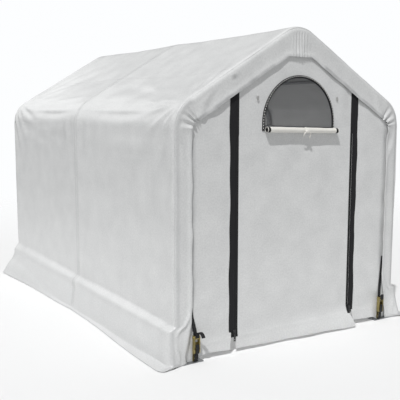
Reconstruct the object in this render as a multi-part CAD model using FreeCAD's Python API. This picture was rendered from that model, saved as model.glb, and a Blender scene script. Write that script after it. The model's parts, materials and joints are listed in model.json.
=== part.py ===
import FreeCAD, Part
import math
import os

# A portable peak-roof shelter: a bolted steel tube frame under a tensioned woven cover.
# Millimetres. +X is the right side seen from the front, -Y is the front, +Z is up.
# The origin lies on the ground at the middle of the floor plan.

# ---- driving dimensions -------------------------------------------------------------
HALF_WIDTH = 900.0        # middle to the outer face of a wall cloth
HALF_LENGTH = 1400.0      # middle to the outer face of an end hem
RIDGE_HEIGHT = 2000.0     # where the two outer roof planes would meet
EAVE_HEIGHT = 1468.0      # where a roof plane would meet a wall plane
CLOTH = 2.0               # thickness given to every cloth
CLOTH_GAP = 1.0           # cloth to the tube under it
TUBE_D = 35.0             # rib tube
TUBE_WALL = 1.0
BEND_R = 180.0            # centreline radius of the peak and shoulder bends
RAIL_D = 25.0             # lengthwise rails
RAIL_WALL = 0.9
RAIL_PAST = 21.0          # a rail runs this far past an end rib
RAIL_JOINT = 80.0         # the two tubes of a rail meet this far behind the middle rib
RAIL_PLUG = 40.0          # length of a rail's reduced end
FIT = 0.1                 # clearance of a tube end pushed into the next tube
SPIGOT = 50.0             # length of a rib tube's reduced end
STEP = 2.0                # ring that carries a reduced end
END_RIB_Y = 1364.0        # middle to the centre plane of an end rib
RIB_GAP = 0.5             # rib tube to a rail that passes it
SHANK_D = 6.0             # frame bolts
HOLE_D = 6.2
HEAD_FLATS = 10.0
HEAD_T = 4.0
RAIL_BOLT = 35.5          # shank of a rail bolt

JOINT_Z = 1200.0          # a leg meets its shoulder bend
PEAK_ARM = 400.0          # straight arm of a peak bend
PURLIN_X = 495.0          # purlins, part way up the slope
EAVE_RAIL_Z = 1320.0
COVER_RAIL_Z = 200.0
LEG_BOLT_Z = 40.0

PLATE_T = 4.0             # foot plates
PLATE_OUT_X = 905.0
PLATE_IN_X = 715.0
PLATE_HALF_Y = 55.0
STUB_H = 60.0
ANCHOR_X = 800.0          # ground anchor hole in each plate
ANCHOR_R = 5.0

HEM_SIDE = 115.0          # width of the hem down the walls
HEM_ROOF = 140.0          # width of the hem along the roof
HEM_PEAK_HALF = 90.0      # half width of the level edge under the peak
HEM_BOTTOM = 8.0
PANEL_RECESS = 9.0        # panel face behind the hem face
PANEL_BOTTOM = 30.0
SKIRT_SPREAD = 117.0      # how far the skirt stands out at the ground
SKIRT_BOTTOM = 3.0
POCKET_GAP = 0.7          # rail to its pocket
POCKET_NOTCH = 60.0       # half length of the bare rail at the middle leg
POCKET_END = 1330.0

DOOR_HALF = 470.0
ZIP_X = 480.0
TAPE_OUT_X = 518.0
PANEL_IN_X = 506.0        # inner edge of a side front panel
FOLD_Z = 1300.0           # top of the roll-up door
DOOR_BOTTOM = 20.0
DOOR_PANELS = 8
DOOR_TAPER = 26.0         # each door panel is this much shorter than the one above
SLIT = 0.5                # between door panels
ZIP_BOTTOM = 95.0
ZIP_TOP = 1530.0
TAPE_T = 1.5
CHAIN_T = 1.8             # chain of teeth on the tape
CHAIN_HALF = 7.0
SLIDER_HALF = 8.5
SLIDER_SIDE = [(0, 112), (0, 142), (-4.5, 138), (-5.5, 127), (-4.5, 116)]   # Y from the chain, Z
BAIL_Y = 6.5              # pull's pin in front of the chain
BAIL_Z = 119.0
BAIL_R = 4.0
BAIL_HALF = 3.0
PULL_PIN_R = 1.5
PULL_HALF = 7.0
PULL_T = 2.0
PULL_LENGTH = 48.0
PULL_TOP = 5.0            # upper edge of the tab below its pin
PULL_CHEEK = 3.0          # width of the two ears that hold the pin
PULL_CHEEK_TOP = 1.2
PULL_EYE_R = 3.0
PULL_EYE = 38.0           # middle of the eye below the pin

WINDOW_Z = 1350.0         # lower edge of the half-moon window
WINDOW_R = 285.0
WINDOW_STRAIGHT = 31.0
BINDING = 12.0            # binding tape round the window
BINDING_T = 1.4
MESH_T = 1.0
FLAP_R = 19.0             # rolled window cover
FLAP_HALF = 290.0
FLAP_GAP = 2.0            # roll in front of the panel
FLAP_STRIP_T = 2.5        # cloth that the roll hangs from

RATCHET_X = 765.0
WEB_W = 25.0              # webbing
WEB_T = 1.6
STRAP_TOP = 350.0         # the strap goes behind the hem above this
STRAP_OUT = 235.0         # it leans forward to the spool below this
STRAP_TURN = 22.0         # and drops straight this far above the spool
TAIL_R = 16.0             # curl of the loose tail
TAIL_STEP = math.radians(20)
TAIL_POINTS = 8
SPOOL_Z = 150.0
SPOOL_OUT = 15.0          # spool axis in front of the hem face
SPOOL_R = 7.0
SPOOL_HALF = 24.0
RUNNING = 0.05            # round a turning shaft or pin
COIL_R = 11.0             # webbing wound on the spool
COIL_GAP = 0.3
TEETH = 12
TOOTH_R = 12.6
TOOTH_ROOT_R = 10.0
WHEEL_X = 15.4            # spool middle to a wheel's outer face

LUG_GAP = 0.8             # foot plate's lug in front of the hem face
LUG_T = 4.0
LUG_HALF = 15.0
LUG_H = 34.0
LUG_BOLT_Z = 21.0
LUG_BOLT_R = 4.0
LUG_HOLE_R = 4.1
LUG_HEAD_FLATS = 13.0
LUG_HEAD_T = 5.0
SHIM = 0.2                # frame to lug, and lug to nut
FRAME_HALF = 18.0         # ratchet frame
FRAME_T = 2.0
BASE_BOTTOM = 8.0
BASE_TOP = 120.0
CHEEK_BOTTOM = 88.0
CHEEK_TOP = 15.0          # cheek above the spool axis
CHEEK_FRONT = 11.0        # and in front of it
ARM_X = 22.0              # ratchet handle: spool middle to an arm's outer face
ARM_T = 2.6
ARM_EYE_R = 11.0
ARM_FRONT = 9.0
ARM_BACK = 7.0
ARM_BOTTOM = 66.0
ARM_TOP = 2.0             # straight part of an arm above the spool axis
GRIP_BOTTOM = 60.0
GRIP_TOP = 82.0

# ---- worked out from them --------------------------------------------------------------
PITCH = math.atan2(RIDGE_HEIGHT - EAVE_HEIGHT, HALF_WIDTH)
TUBE_R = TUBE_D / 2
RAIL_R = RAIL_D / 2
INSET = CLOTH + CLOTH_GAP + TUBE_R            # outer cloth face to the rib centreline
LEG_X = HALF_WIDTH - INSET
PEAK_C = (0.0, RIDGE_HEIGHT - (INSET + BEND_R) / math.cos(PITCH))
SHOULDER_X = LEG_X - BEND_R
SHOULDER_C = (SHOULDER_X, PEAK_C[1] - SHOULDER_X * math.tan(PITCH))
SLOPE = (SHOULDER_C[0] - PEAK_C[0]) / math.cos(PITCH)      # straight between the bends
RAIL_OFFSET = TUBE_R + RIB_GAP + RAIL_R
PANEL_Y = HALF_LENGTH - PANEL_RECESS                       # outer face of the end panels
RIBS = {"front": -END_RIB_Y, "middle": 0.0, "rear": END_RIB_Y}
SIDES = {"left": -1, "right": 1}
ENDS = {"front": -1, "rear": 1}
SHEET_IN = TUBE_R + CLOTH_GAP
SHEET_OUT = SHEET_IN + CLOTH
TAPE_FACE = -PANEL_Y - 0.1                                 # back of what is sewn on the front
CHAIN_FACE = TAPE_FACE - TAPE_T - CHAIN_T - 0.3            # where the sliders run
SPOOL_Y = -HALF_LENGTH - SPOOL_OUT
BASE_Y = -HALF_LENGTH - LUG_GAP - SHIM - FRAME_T           # front face of a ratchet's base

V = FreeCAD.Vector
UP, ALONG, ACROSS = V(0, 0, 1), V(0, 1, 0), V(1, 0, 0)


def at(centre, radius, angle):
    """Point of the cross-section on an arc; the angle is counted from +X towards +Z."""
    return V(centre[0] + radius * math.cos(angle), 0, centre[1] + radius * math.sin(angle))


def half_section(offset, z_low):
    """Right half of the rib outline at an offset outside its centreline, ridge to z_low."""
    radius = BEND_R + offset
    top, tilt = math.pi / 2, math.pi / 2 - PITCH
    p = [at(PEAK_C, radius, a) for a in (top, (top + tilt) / 2, tilt)]
    q = [at(SHOULDER_C, radius, a) for a in (tilt, tilt / 2, 0)]
    foot = V(q[2].x, 0, z_low)
    edges = [Part.Arc(*p).toShape(), Part.makeLine(p[2], q[0]), Part.Arc(*q).toShape()]
    if q[2].z - z_low > 0.01:
        edges.append(Part.makeLine(q[2], foot))
    return edges, p[0], foot


def mirrored(shape):
    return shape.mirror(V(0, 0, 0), ACROSS)


def turned(shape):
    """The same piece at the other end of the shelter."""
    return shape.mirror(V(0, 0, 0), ALONG)


def box(x0, x1, y0, y1, z0, z1):
    return Part.makeBox(x1 - x0, y1 - y0, z1 - z0, V(x0, y0, z0))


def rod(start, direction, radius, length):
    return Part.makeCylinder(radius, length, start, direction)


def pipe(start, direction, length, outer, wall):
    bore = rod(start, direction, outer - wall, length)
    return rod(start, direction, outer, length).cut(bore)


def hexagon(start, direction, flats, height):
    """Hexagonal bolt head or nut on a face."""
    ring = [V(flats / math.sqrt(3) * math.cos(i * math.pi / 3),
              flats / math.sqrt(3) * math.sin(i * math.pi / 3), 0) for i in range(7)]
    prism = Part.Face(Part.makePolygon(ring)).extrude(V(0, 0, height))
    prism.Placement = FreeCAD.Placement(start, FreeCAD.Rotation(UP, direction))
    return prism


def spigot(end, direction):
    """Reduced tube end that pushes into the next tube, with the step that carries it."""
    reduced = TUBE_R - TUBE_WALL - FIT
    bore = rod(end - direction * STEP, direction, reduced - TUBE_WALL, SPIGOT + STEP)
    body = rod(end - direction * STEP, direction, TUBE_R, STEP)
    return body.fuse(rod(end, direction, reduced, SPIGOT)).cut(bore)


def swept_tube(path):
    """Tube along a flat path of tangent edges."""
    start = path[0].valueAt(path[0].FirstParameter)
    tangent = path[0].tangentAt(path[0].FirstParameter)
    spine = Part.Wire(path)
    solids = []
    for radius in (TUBE_R, TUBE_R - TUBE_WALL):
        ring = Part.Wire(Part.makeCircle(radius, start, tangent))
        solids.append(spine.makePipeShell([ring], True, True))
    return solids[0].cut(solids[1])


def extruded(edges, y0, y1):
    """Prism of a closed cross-section outline between two stations along Y."""
    face = Part.Face(Part.Wire(Part.__sortEdges__(edges)))
    prism = face.extrude(V(0, y1 - y0, 0))
    prism.translate(V(0, y0, 0))
    return prism


def outline(points):
    return [Part.makeLine(a, b) for a, b in zip(points, points[1:] + points[:1])]


def ribbon(points, x0, x1, thickness):
    """Webbing of one thickness that follows points of the Y-Z plane."""
    half = thickness / 2
    near, far = [], []
    for i, (y, z) in enumerate(points):
        dirs = []
        for a, b in ((i - 1, i), (i, i + 1)):
            if a >= 0 and b < len(points):
                dy, dz = points[b][0] - points[a][0], points[b][1] - points[a][1]
                size = math.hypot(dy, dz)
                dirs.append((dy / size, dz / size))
        ty = sum(d[0] for d in dirs) / len(dirs)
        tz = sum(d[1] for d in dirs) / len(dirs)
        size = math.hypot(ty, tz)
        reach = half / size
        ny, nz = -tz / size * reach, ty / size * reach
        near.append(V(x0, y + ny, z + nz))
        far.append(V(x0, y - ny, z - nz))
    ring = near + far[::-1]
    return Part.Face(Part.makePolygon(ring + ring[:1])).extrude(V(x1 - x0, 0, 0))


# ---- ribs ----------------------------------------------------------------------------
SLOPE_DIR = V(math.cos(PITCH), 0, -math.sin(PITCH))
SLOPE_OUT = V(math.sin(PITCH), 0, math.cos(PITCH))
PEAK_END = at(PEAK_C, BEND_R, math.pi / 2 - PITCH)
SHOULDER_TOP = PEAK_END + SLOPE_DIR * PEAK_ARM
PURLIN_POINT = PEAK_END + SLOPE_DIR * ((PURLIN_X - PEAK_END.x) / math.cos(PITCH))
LEG_TOP = V(LEG_X, 0, JOINT_Z)

# Each rail line passes the ribs at a point of the rib, on the side that faces -out.
RAIL_LINES = {
    "ridge": (at(PEAK_C, BEND_R, math.pi / 2), UP, False),
    "purlin": (PURLIN_POINT, SLOPE_OUT, True),
    "eave": (V(LEG_X, 0, EAVE_RAIL_Z), ACROSS, True),
    "cover": (V(LEG_X, 0, COVER_RAIL_Z), ACROSS * -1, True),
}
RIB_BOLT_POINTS = [
    SHOULDER_TOP - SLOPE_DIR * (SPIGOT / 2),
    LEG_TOP + UP * (SPIGOT / 2),
    V(LEG_X, 0, LEG_BOLT_Z),
]


def cross_hole(point):
    return rod(point - ALONG * TUBE_D, ALONG, HOLE_D / 2, 2 * TUBE_D)


def rail_hole(point, out):
    """Hole through one wall of a rib tube, on the rail's side."""
    return rod(point - out * TUBE_D, out, HOLE_D / 2, TUBE_D)


def peak_bend():
    top = math.pi / 2
    left_end = V(-PEAK_END.x, 0, PEAK_END.z)
    left_far = V(-SHOULDER_TOP.x, 0, SHOULDER_TOP.z)
    path = [Part.makeLine(left_far, left_end),
            Part.Arc(left_end, at(PEAK_C, BEND_R, top), PEAK_END).toShape(),
            Part.makeLine(PEAK_END, SHOULDER_TOP)]
    tube = swept_tube(path)
    hole = cross_hole(RIB_BOLT_POINTS[0])
    return tube.cut(hole).cut(mirrored(hole)).cut(rail_hole(*RAIL_LINES["ridge"][:2]))


def shoulder_bend():
    tilt = math.pi / 2 - PITCH
    bend = [at(SHOULDER_C, BEND_R, a) for a in (tilt, tilt / 2, 0)]
    path = [Part.makeLine(SHOULDER_TOP, bend[0]), Part.Arc(*bend).toShape(),
            Part.makeLine(bend[2], LEG_TOP)]
    tube = swept_tube(path).fuse(spigot(SHOULDER_TOP, SLOPE_DIR * -1))
    for point in RIB_BOLT_POINTS[:2]:
        tube = tube.cut(cross_hole(point))
    for line in ("purlin", "eave"):
        tube = tube.cut(rail_hole(*RAIL_LINES[line][:2]))
    return tube


def leg():
    tube = pipe(V(LEG_X, 0, PLATE_T), UP, JOINT_Z - PLATE_T, TUBE_R, TUBE_WALL)
    tube = tube.fuse(spigot(LEG_TOP, UP))
    for point in RIB_BOLT_POINTS[1:]:
        tube = tube.cut(cross_hole(point))
    return tube.cut(rail_hole(*RAIL_LINES["cover"][:2]))


def foot_plate(lug):
    """Plate with a tube stub and an anchor hole; end plates also carry a strap lug."""
    stub_r = TUBE_R - TUBE_WALL - FIT
    plate = box(PLATE_IN_X, PLATE_OUT_X, -PLATE_HALF_Y, PLATE_HALF_Y, 0, PLATE_T)
    plate = plate.fuse(rod(V(LEG_X, 0, PLATE_T), UP, stub_r, STUB_H))
    plate = plate.cut(rod(V(LEG_X, 0, PLATE_T), UP, stub_r - TUBE_WALL, STUB_H))
    plate = plate.cut(rod(V(ANCHOR_X, 0, 0), UP, ANCHOR_R, PLATE_T))
    plate = plate.cut(cross_hole(RIB_BOLT_POINTS[2]))
    if lug:
        y = END_RIB_Y - HALF_LENGTH - LUG_GAP
        tab = box(RATCHET_X - LUG_HALF, RATCHET_X + LUG_HALF, y, y + LUG_T, 0, LUG_H)
        hole = rod(V(RATCHET_X, y, LUG_BOLT_Z), ALONG, LUG_HOLE_R, LUG_T)
        plate = plate.fuse(tab).cut(hole)
    return plate


def rib_bolt(point):
    """Bolt along Y through two nested tubes, with its nut."""
    grip = TUBE_R + FIT
    start = point - ALONG * grip
    bolt = rod(start, ALONG, SHANK_D / 2, 2 * grip)
    bolt = bolt.fuse(hexagon(start - ALONG * HEAD_T, ALONG, HEAD_FLATS, HEAD_T))
    return bolt.fuse(hexagon(point + ALONG * grip, ALONG, HEAD_FLATS, HEAD_T))


def rail_bolt(point, out):
    """Bolt that goes through a rail into the near wall of the rib."""
    face = point - out * (RAIL_OFFSET + RAIL_R + FIT)
    bolt = rod(face, out, SHANK_D / 2, RAIL_BOLT)
    return bolt.fuse(hexagon(face - out * HEAD_T, out, HEAD_FLATS, HEAD_T))


def rail_pair(name):
    """A rail line of two tubes: the rear one plugs into the front one past the middle rib."""
    point, out, _ = RAIL_LINES[name]
    centre = point - out * RAIL_OFFSET
    end = END_RIB_Y + RAIL_PAST
    reduced = RAIL_R - RAIL_WALL - FIT
    front = pipe(centre - ALONG * end, ALONG, end + RAIL_JOINT, RAIL_R, RAIL_WALL)
    rear_start = centre + ALONG * RAIL_JOINT
    rear = pipe(rear_start, ALONG, end - RAIL_JOINT, RAIL_R, RAIL_WALL)
    plug = pipe(rear_start - ALONG * RAIL_PLUG, ALONG, RAIL_PLUG + STEP, reduced, RAIL_WALL)
    step = pipe(rear_start, ALONG, STEP, RAIL_R, RAIL_WALL + FIT + RAIL_WALL)
    rear = rear.fuse(step).fuse(plug)
    for y in RIBS.values():
        hole = rod(V(point.x, y, point.z) - out * 2 * TUBE_D, out, HOLE_D / 2, 2 * TUBE_D)
        front, rear = front.cut(hole), rear.cut(hole)
    return [front, rear]


# ---- cover ---------------------------------------------------------------------------
SLOPE_Z = SHOULDER_C[1]                       # the wall cloth becomes straight here
WALL_BOTTOM = COVER_RAIL_Z + RAIL_R + POCKET_GAP + CLOTH + 1.0
SHEET_END = HALF_LENGTH - CLOTH - 0.1


def roof_sheet():
    outer, ridge_out, foot_out = half_section(SHEET_OUT, SLOPE_Z)
    inner, ridge_in, foot_in = half_section(SHEET_IN, SLOPE_Z)
    ends = [Part.makeLine(ridge_out, ridge_in), Part.makeLine(foot_out, foot_in)]
    return extruded(outer + inner + ends, -SHEET_END, SHEET_END)


def wall_sheet():
    return box(HALF_WIDTH - CLOTH, HALF_WIDTH, -SHEET_END, SHEET_END, WALL_BOTTOM, SLOPE_Z)


def skirt():
    """Rail pocket with the flap that spreads on the ground below it."""
    centre = V(LEG_X + RAIL_OFFSET, 0, COVER_RAIL_Z)
    inner = RAIL_R + POCKET_GAP
    outer = inner + CLOTH
    lean = math.atan2(SKIRT_SPREAD, COVER_RAIL_Z)
    down = V(math.sin(lean), 0, -math.cos(lean))
    aside = V(math.cos(lean), 0, math.sin(lean))
    top = centre + down * (inner + CLOTH / 2) - aside * (CLOTH / 2)
    reach = (top.z - SKIRT_BOTTOM) / math.cos(lean)
    corners = [top, top + aside * CLOTH, top + aside * CLOTH + down * reach, top + down * reach]
    shape = extruded(outline(corners), -HALF_LENGTH, HALF_LENGTH)
    for y0, y1 in ((-POCKET_END, -POCKET_NOTCH), (POCKET_NOTCH, POCKET_END)):
        start = V(centre.x, y0, centre.z)
        shape = shape.fuse(rod(start, ALONG, outer, y1 - y0))
    for y0, y1 in ((-POCKET_END, -POCKET_NOTCH), (POCKET_NOTCH, POCKET_END)):
        start = V(centre.x, y0, centre.z)
        shape = shape.cut(rod(start, ALONG, inner, y1 - y0))
    return shape


def full_outline(offset, z_low):
    """Closed outline of the whole gable at an offset."""
    edges, _, foot = half_section(offset, z_low)
    other = [mirrored(e) for e in edges]
    return edges + other + [Part.makeLine(V(-foot.x, 0, z_low), foot)]


def hem():
    """Band of cover that is turned over an end rib onto the gable, front end."""
    y0, y1 = -HALF_LENGTH, -HALF_LENGTH + CLOTH
    whole = extruded(full_outline(SHEET_OUT, HEM_BOTTOM), y0, y1)
    side = HALF_WIDTH - HEM_SIDE
    drop = HEM_ROOF / math.cos(PITCH)
    level = RIDGE_HEIGHT - drop - HEM_PEAK_HALF * math.tan(PITCH)
    corner = RIDGE_HEIGHT - drop - side * math.tan(PITCH)
    points = [V(-side, 0, -1), V(side, 0, -1), V(side, 0, corner), V(HEM_PEAK_HALF, 0, level),
              V(-HEM_PEAK_HALF, 0, level), V(-side, 0, corner)]
    return whole.cut(extruded(outline(points), y0 - 1, y1 + 1))


# ---- end panels, window and zippers ----------------------------------------------------
PANEL_OFFSET = TUBE_R - 0.5
BIG = 3000.0


def gable_sheet(z_low):
    """Whole end panel inside the roof cloth, front end."""
    return extruded(full_outline(PANEL_OFFSET, z_low), -PANEL_Y, -PANEL_Y + CLOTH)


def half_moon(margin, y0, y1):
    """Window outline grown by a margin: straight sides under a half circle."""
    r, low, spring = WINDOW_R + margin, WINDOW_Z - margin, WINDOW_Z + WINDOW_STRAIGHT
    arc = Part.Arc(V(r, 0, spring), V(0, 0, spring + r), V(-r, 0, spring)).toShape()
    lines = [Part.makeLine(V(-r, 0, spring), V(-r, 0, low)),
             Part.makeLine(V(-r, 0, low), V(r, 0, low)),
             Part.makeLine(V(r, 0, low), V(r, 0, spring))]
    return extruded([arc] + lines, y0, y1)


def side_panel():
    keep = box(PANEL_IN_X, BIG, -BIG, 0, 0, BIG)
    return gable_sheet(PANEL_BOTTOM).common(keep)


def gable_panel():
    half = PANEL_IN_X - SLIT
    keep = box(-half, half, -BIG, 0, FOLD_Z, BIG)
    return gable_sheet(PANEL_BOTTOM).common(keep).cut(half_moon(0, -PANEL_Y - 1, -PANEL_Y + CLOTH + 1))


def window_mesh():
    front = -PANEL_Y + CLOTH + CLOTH_GAP
    return half_moon(BINDING, front, front + MESH_T)


def window_binding():
    band = half_moon(BINDING, TAPE_FACE - BINDING_T, TAPE_FACE)
    return band.cut(half_moon(-2.0, TAPE_FACE - 2 * BINDING_T, TAPE_FACE + BINDING_T))


def window_flap():
    """The window's cover, rolled down and tied under it, with the strip it hangs from."""
    y = -PANEL_Y - FLAP_GAP - FLAP_R
    z = WINDOW_Z - BINDING - 1.0
    roll = rod(V(-FLAP_HALF, y, z), ACROSS, FLAP_R, 2 * FLAP_HALF)
    strip = box(-WINDOW_R, WINDOW_R, y, TAPE_FACE, z - 0.5 - FLAP_STRIP_T, z - 0.5)
    return roll.fuse(strip)


def zipper_tape():
    """Fixed half of a zipper: tape on the side panel and the chain on its edge."""
    front = TAPE_FACE - TAPE_T
    tape = box(ZIP_X - CHAIN_HALF - 0.5, TAPE_OUT_X, front, TAPE_FACE, ZIP_BOTTOM, ZIP_TOP)
    chain = box(ZIP_X - CHAIN_HALF, ZIP_X + CHAIN_HALF, front - CHAIN_T, front, ZIP_BOTTOM, ZIP_TOP)
    return tape.fuse(chain)


def zipper_slider():
    """Slider body with a bail for its pull, at the bottom of the chain."""
    ring = [V(ZIP_X - SLIDER_HALF, CHAIN_FACE + y, z) for y, z in SLIDER_SIDE]
    body = Part.Face(Part.makePolygon(ring + ring[:1])).extrude(V(2 * SLIDER_HALF, 0, 0))
    pin = V(ZIP_X - BAIL_HALF, CHAIN_FACE - BAIL_Y, BAIL_Z)
    bail = rod(pin, ACROSS, BAIL_R, 2 * BAIL_HALF)
    hole = rod(pin - ACROSS, ACROSS, PULL_PIN_R + RUNNING, 2 * BAIL_HALF + 2)
    return body.fuse(bail).cut(hole)


def zipper_pull():
    """Pull tab with the pin that turns in the slider's bail."""
    y, z = CHAIN_FACE - BAIL_Y, BAIL_Z
    y0, y1 = y - PULL_T / 2, y + PULL_T / 2
    x0, x1 = ZIP_X - PULL_HALF, ZIP_X + PULL_HALF
    pull = rod(V(x0, y, z), ACROSS, PULL_PIN_R, x1 - x0)
    pull = pull.fuse(box(x0, x1, y0, y1, z - PULL_LENGTH, z - PULL_TOP))
    for x in (x0, x1 - PULL_CHEEK):
        pull = pull.fuse(box(x, x + PULL_CHEEK, y0, y1, z - PULL_TOP - 1, z + PULL_CHEEK_TOP))
    return pull.cut(rod(V(ZIP_X, y0 - 1, z - PULL_EYE), ALONG, PULL_EYE_R, PULL_T + 2))


def door_lengths():
    mean = (FOLD_Z - DOOR_BOTTOM) / DOOR_PANELS
    middle = (DOOR_PANELS - 1) / 2
    return [mean + DOOR_TAPER * (middle - i) for i in range(DOOR_PANELS)]


def door_panels():
    """Cross strips of the door, from the fold line down, each a little shorter."""
    strips, top = [], FOLD_Z
    for length in door_lengths():
        strips.append(box(-DOOR_HALF, DOOR_HALF, -PANEL_Y, -PANEL_Y + CLOTH,
                          top - length, top - SLIT))
        top -= length
    return strips


# ---- tensioning ratchets, front right corner ---------------------------------------------
# They are made about x = 0 and moved to the corners.
def ratchet_frame():
    """Folded steel channel: a base bolted to the lug and two cheeks for the spool."""
    back = BASE_Y + FRAME_T
    frame = box(-FRAME_HALF, FRAME_HALF, BASE_Y, back, BASE_BOTTOM, BASE_TOP)
    for x in (-FRAME_HALF, FRAME_HALF - FRAME_T):
        cheek = box(x, x + FRAME_T, SPOOL_Y - CHEEK_FRONT, back, CHEEK_BOTTOM, SPOOL_Z + CHEEK_TOP)
        frame = frame.fuse(cheek)
    frame = frame.cut(rod(V(-SPOOL_HALF, SPOOL_Y, SPOOL_Z), ACROSS, SPOOL_R + RUNNING, 2 * SPOOL_HALF))
    frame = frame.cut(rod(V(0, BASE_Y, LUG_BOLT_Z), ALONG, LUG_HOLE_R, FRAME_T))
    return frame.removeSplitter()


def lug_bolt():
    start = V(0, BASE_Y - SHIM / 2, LUG_BOLT_Z)
    grip = FRAME_T + SHIM + LUG_T + SHIM
    bolt = rod(start, ALONG, LUG_BOLT_R, grip)
    bolt = bolt.fuse(hexagon(start - ALONG * LUG_HEAD_T, ALONG, LUG_HEAD_FLATS, LUG_HEAD_T))
    return bolt.fuse(hexagon(start + ALONG * grip, ALONG, LUG_HEAD_FLATS, LUG_HEAD_T))


def ratchet_spool():
    """Slotted shaft with two toothed wheels and the webbing wound between them."""
    axis = V(0, SPOOL_Y, SPOOL_Z)
    spool = rod(axis - ACROSS * SPOOL_HALF, ACROSS, SPOOL_R, 2 * SPOOL_HALF)
    spool = spool.fuse(rod(axis - ACROSS * WEB_W / 2, ACROSS, COIL_R, WEB_W))
    ring = []
    for i in range(TEETH):
        for radius, shift in ((TOOTH_R, 0.0), (TOOTH_ROOT_R, 0.5)):
            angle = 2 * math.pi * (i + shift) / TEETH
            ring.append(V(0, radius * math.cos(angle), radius * math.sin(angle)))
    wheel = Part.Face(Part.makePolygon(ring + ring[:1])).extrude(V(FRAME_T, 0, 0))
    for x in (-WHEEL_X, WHEEL_X - FRAME_T):
        copy = wheel.copy()
        copy.translate(axis + V(x, 0, 0))
        spool = spool.fuse(copy)
    return spool


def ratchet_handle():
    """Two arms on the spool shaft joined by the grip, folded down over the frame."""
    y0, y1 = SPOOL_Y - ARM_FRONT, SPOOL_Y + ARM_BACK
    handle = box(-ARM_X, ARM_X, y0, y1, GRIP_BOTTOM, GRIP_TOP)
    for x in (-ARM_X, ARM_X - ARM_T):
        arm = box(x, x + ARM_T, y0, y1, ARM_BOTTOM, SPOOL_Z + ARM_TOP)
        arm = arm.fuse(rod(V(x, SPOOL_Y, SPOOL_Z), ACROSS, ARM_EYE_R, ARM_T))
        handle = handle.fuse(arm.cut(rod(V(x, SPOOL_Y, SPOOL_Z), ACROSS, SPOOL_R + RUNNING, ARM_T)))
    return handle.removeSplitter()


def tension_strap():
    """Webbing from behind the hem down to the spool, and its loose tail in front."""
    half = WEB_W / 2
    reach = COIL_R + COIL_GAP + WEB_T / 2
    hidden = CHAIN_FACE + COIL_GAP
    down = [(hidden, STRAP_TOP), (hidden, STRAP_OUT), (SPOOL_Y + reach, SPOOL_Z + STRAP_TURN),
            (SPOOL_Y + reach, SPOOL_Z)]
    curl = []
    for i in range(TAIL_POINTS):
        angle = i * TAIL_STEP
        curl.append((SPOOL_Y - reach - TAIL_R * (1 - math.cos(angle)), SPOOL_Z + TAIL_R * math.sin(angle)))
    return [ribbon(points, -half, half, WEB_T) for points in (down, curl)]


def corner_places(shape_or_list):
    """The four corners' copies, named by end and side."""
    shapes = shape_or_list if isinstance(shape_or_list, list) else [shape_or_list]
    places = {}
    for side, sx in SIDES.items():
        for end, sy in ENDS.items():
            copies = []
            for shape in shapes:
                copy = shape.copy()
                copy.translate(V(RATCHET_X, 0, 0))
                copy = mirrored(copy) if sx < 0 else copy
                copies.append(turned(copy) if sy > 0 else copy)
            places[f"{end}_{side}"] = copies
    return places


# ---- the nodes -------------------------------------------------------------------------------
def moved(shape, y):
    copy = shape.copy()
    copy.translate(V(0, y, 0))
    return copy


def both_sides(shape):
    return {"right": shape, "left": mirrored(shape)}


def build():
    nodes = {}
    peak, shoulders, legs = peak_bend(), both_sides(shoulder_bend()), both_sides(leg())
    for rib, y in RIBS.items():
        nodes[f"peak_bend_{rib}"] = [moved(peak, y)]
        for side in SIDES:
            nodes[f"shoulder_bend_{rib}_{side}"] = [moved(shoulders[side], y)]
            nodes[f"leg_{rib}_{side}"] = [moved(legs[side], y)]

    plates, bolts = [], []
    for rib, y in RIBS.items():
        plate = foot_plate(lug=(rib != "middle"))
        plate = turned(plate) if rib == "rear" else plate
        plates += [moved(s, y) for s in both_sides(plate).values()]
        for point in RIB_BOLT_POINTS:
            bolts += [moved(s, y) for s in both_sides(rib_bolt(point)).values()]
    nodes["foot_plates"] = plates
    for copies in corner_places(lug_bolt()).values():
        bolts += copies
    nodes["frame_bolts"] = bolts

    rail_bolts = []
    for name, (point, out, paired) in RAIL_LINES.items():
        rails = rail_pair(name)
        screws = [moved(rail_bolt(point, out), y) for y in RIBS.values()]
        nodes[f"{name}_rails"] = rails + ([mirrored(r) for r in rails] if paired else [])
        rail_bolts += screws + ([mirrored(s) for s in screws] if paired else [])
    nodes["rail_bolts"] = rail_bolts

    for name, shape in (("cover_roof", roof_sheet()), ("cover_wall", wall_sheet()),
                        ("cover_skirt", skirt()), ("front_panel", side_panel()),
                        ("zipper_slider", zipper_slider()), ("zipper_pull", zipper_pull())):
        for side, copy in both_sides(shape).items():
            nodes[f"{name}_{side}"] = [copy]
    nodes["cover_hem_front"] = [hem()]
    nodes["cover_hem_rear"] = [turned(hem())]
    nodes["gable_panel"] = [gable_panel()]
    nodes["rear_panel"] = [turned(gable_sheet(PANEL_BOTTOM))]
    nodes["window_mesh"] = [window_mesh()]
    nodes["window_binding"] = [window_binding()]
    nodes["window_flap"] = [window_flap()]
    nodes["zipper_tapes"] = list(both_sides(zipper_tape()).values())
    for number, strip in enumerate(door_panels(), start=1):
        nodes[f"door_panel_{number}"] = [strip]

    for corner, copies in corner_places(ratchet_handle()).items():
        nodes[f"ratchet_handle_{corner}"] = copies
    for corner, copies in corner_places(ratchet_spool()).items():
        nodes[f"ratchet_spool_{corner}"] = copies
    nodes["ratchet_frames"] = [c[0] for c in corner_places(ratchet_frame()).values()]
    nodes["tension_straps"] = [s for c in corner_places(tension_strap()).values() for s in c]
    return nodes


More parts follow.
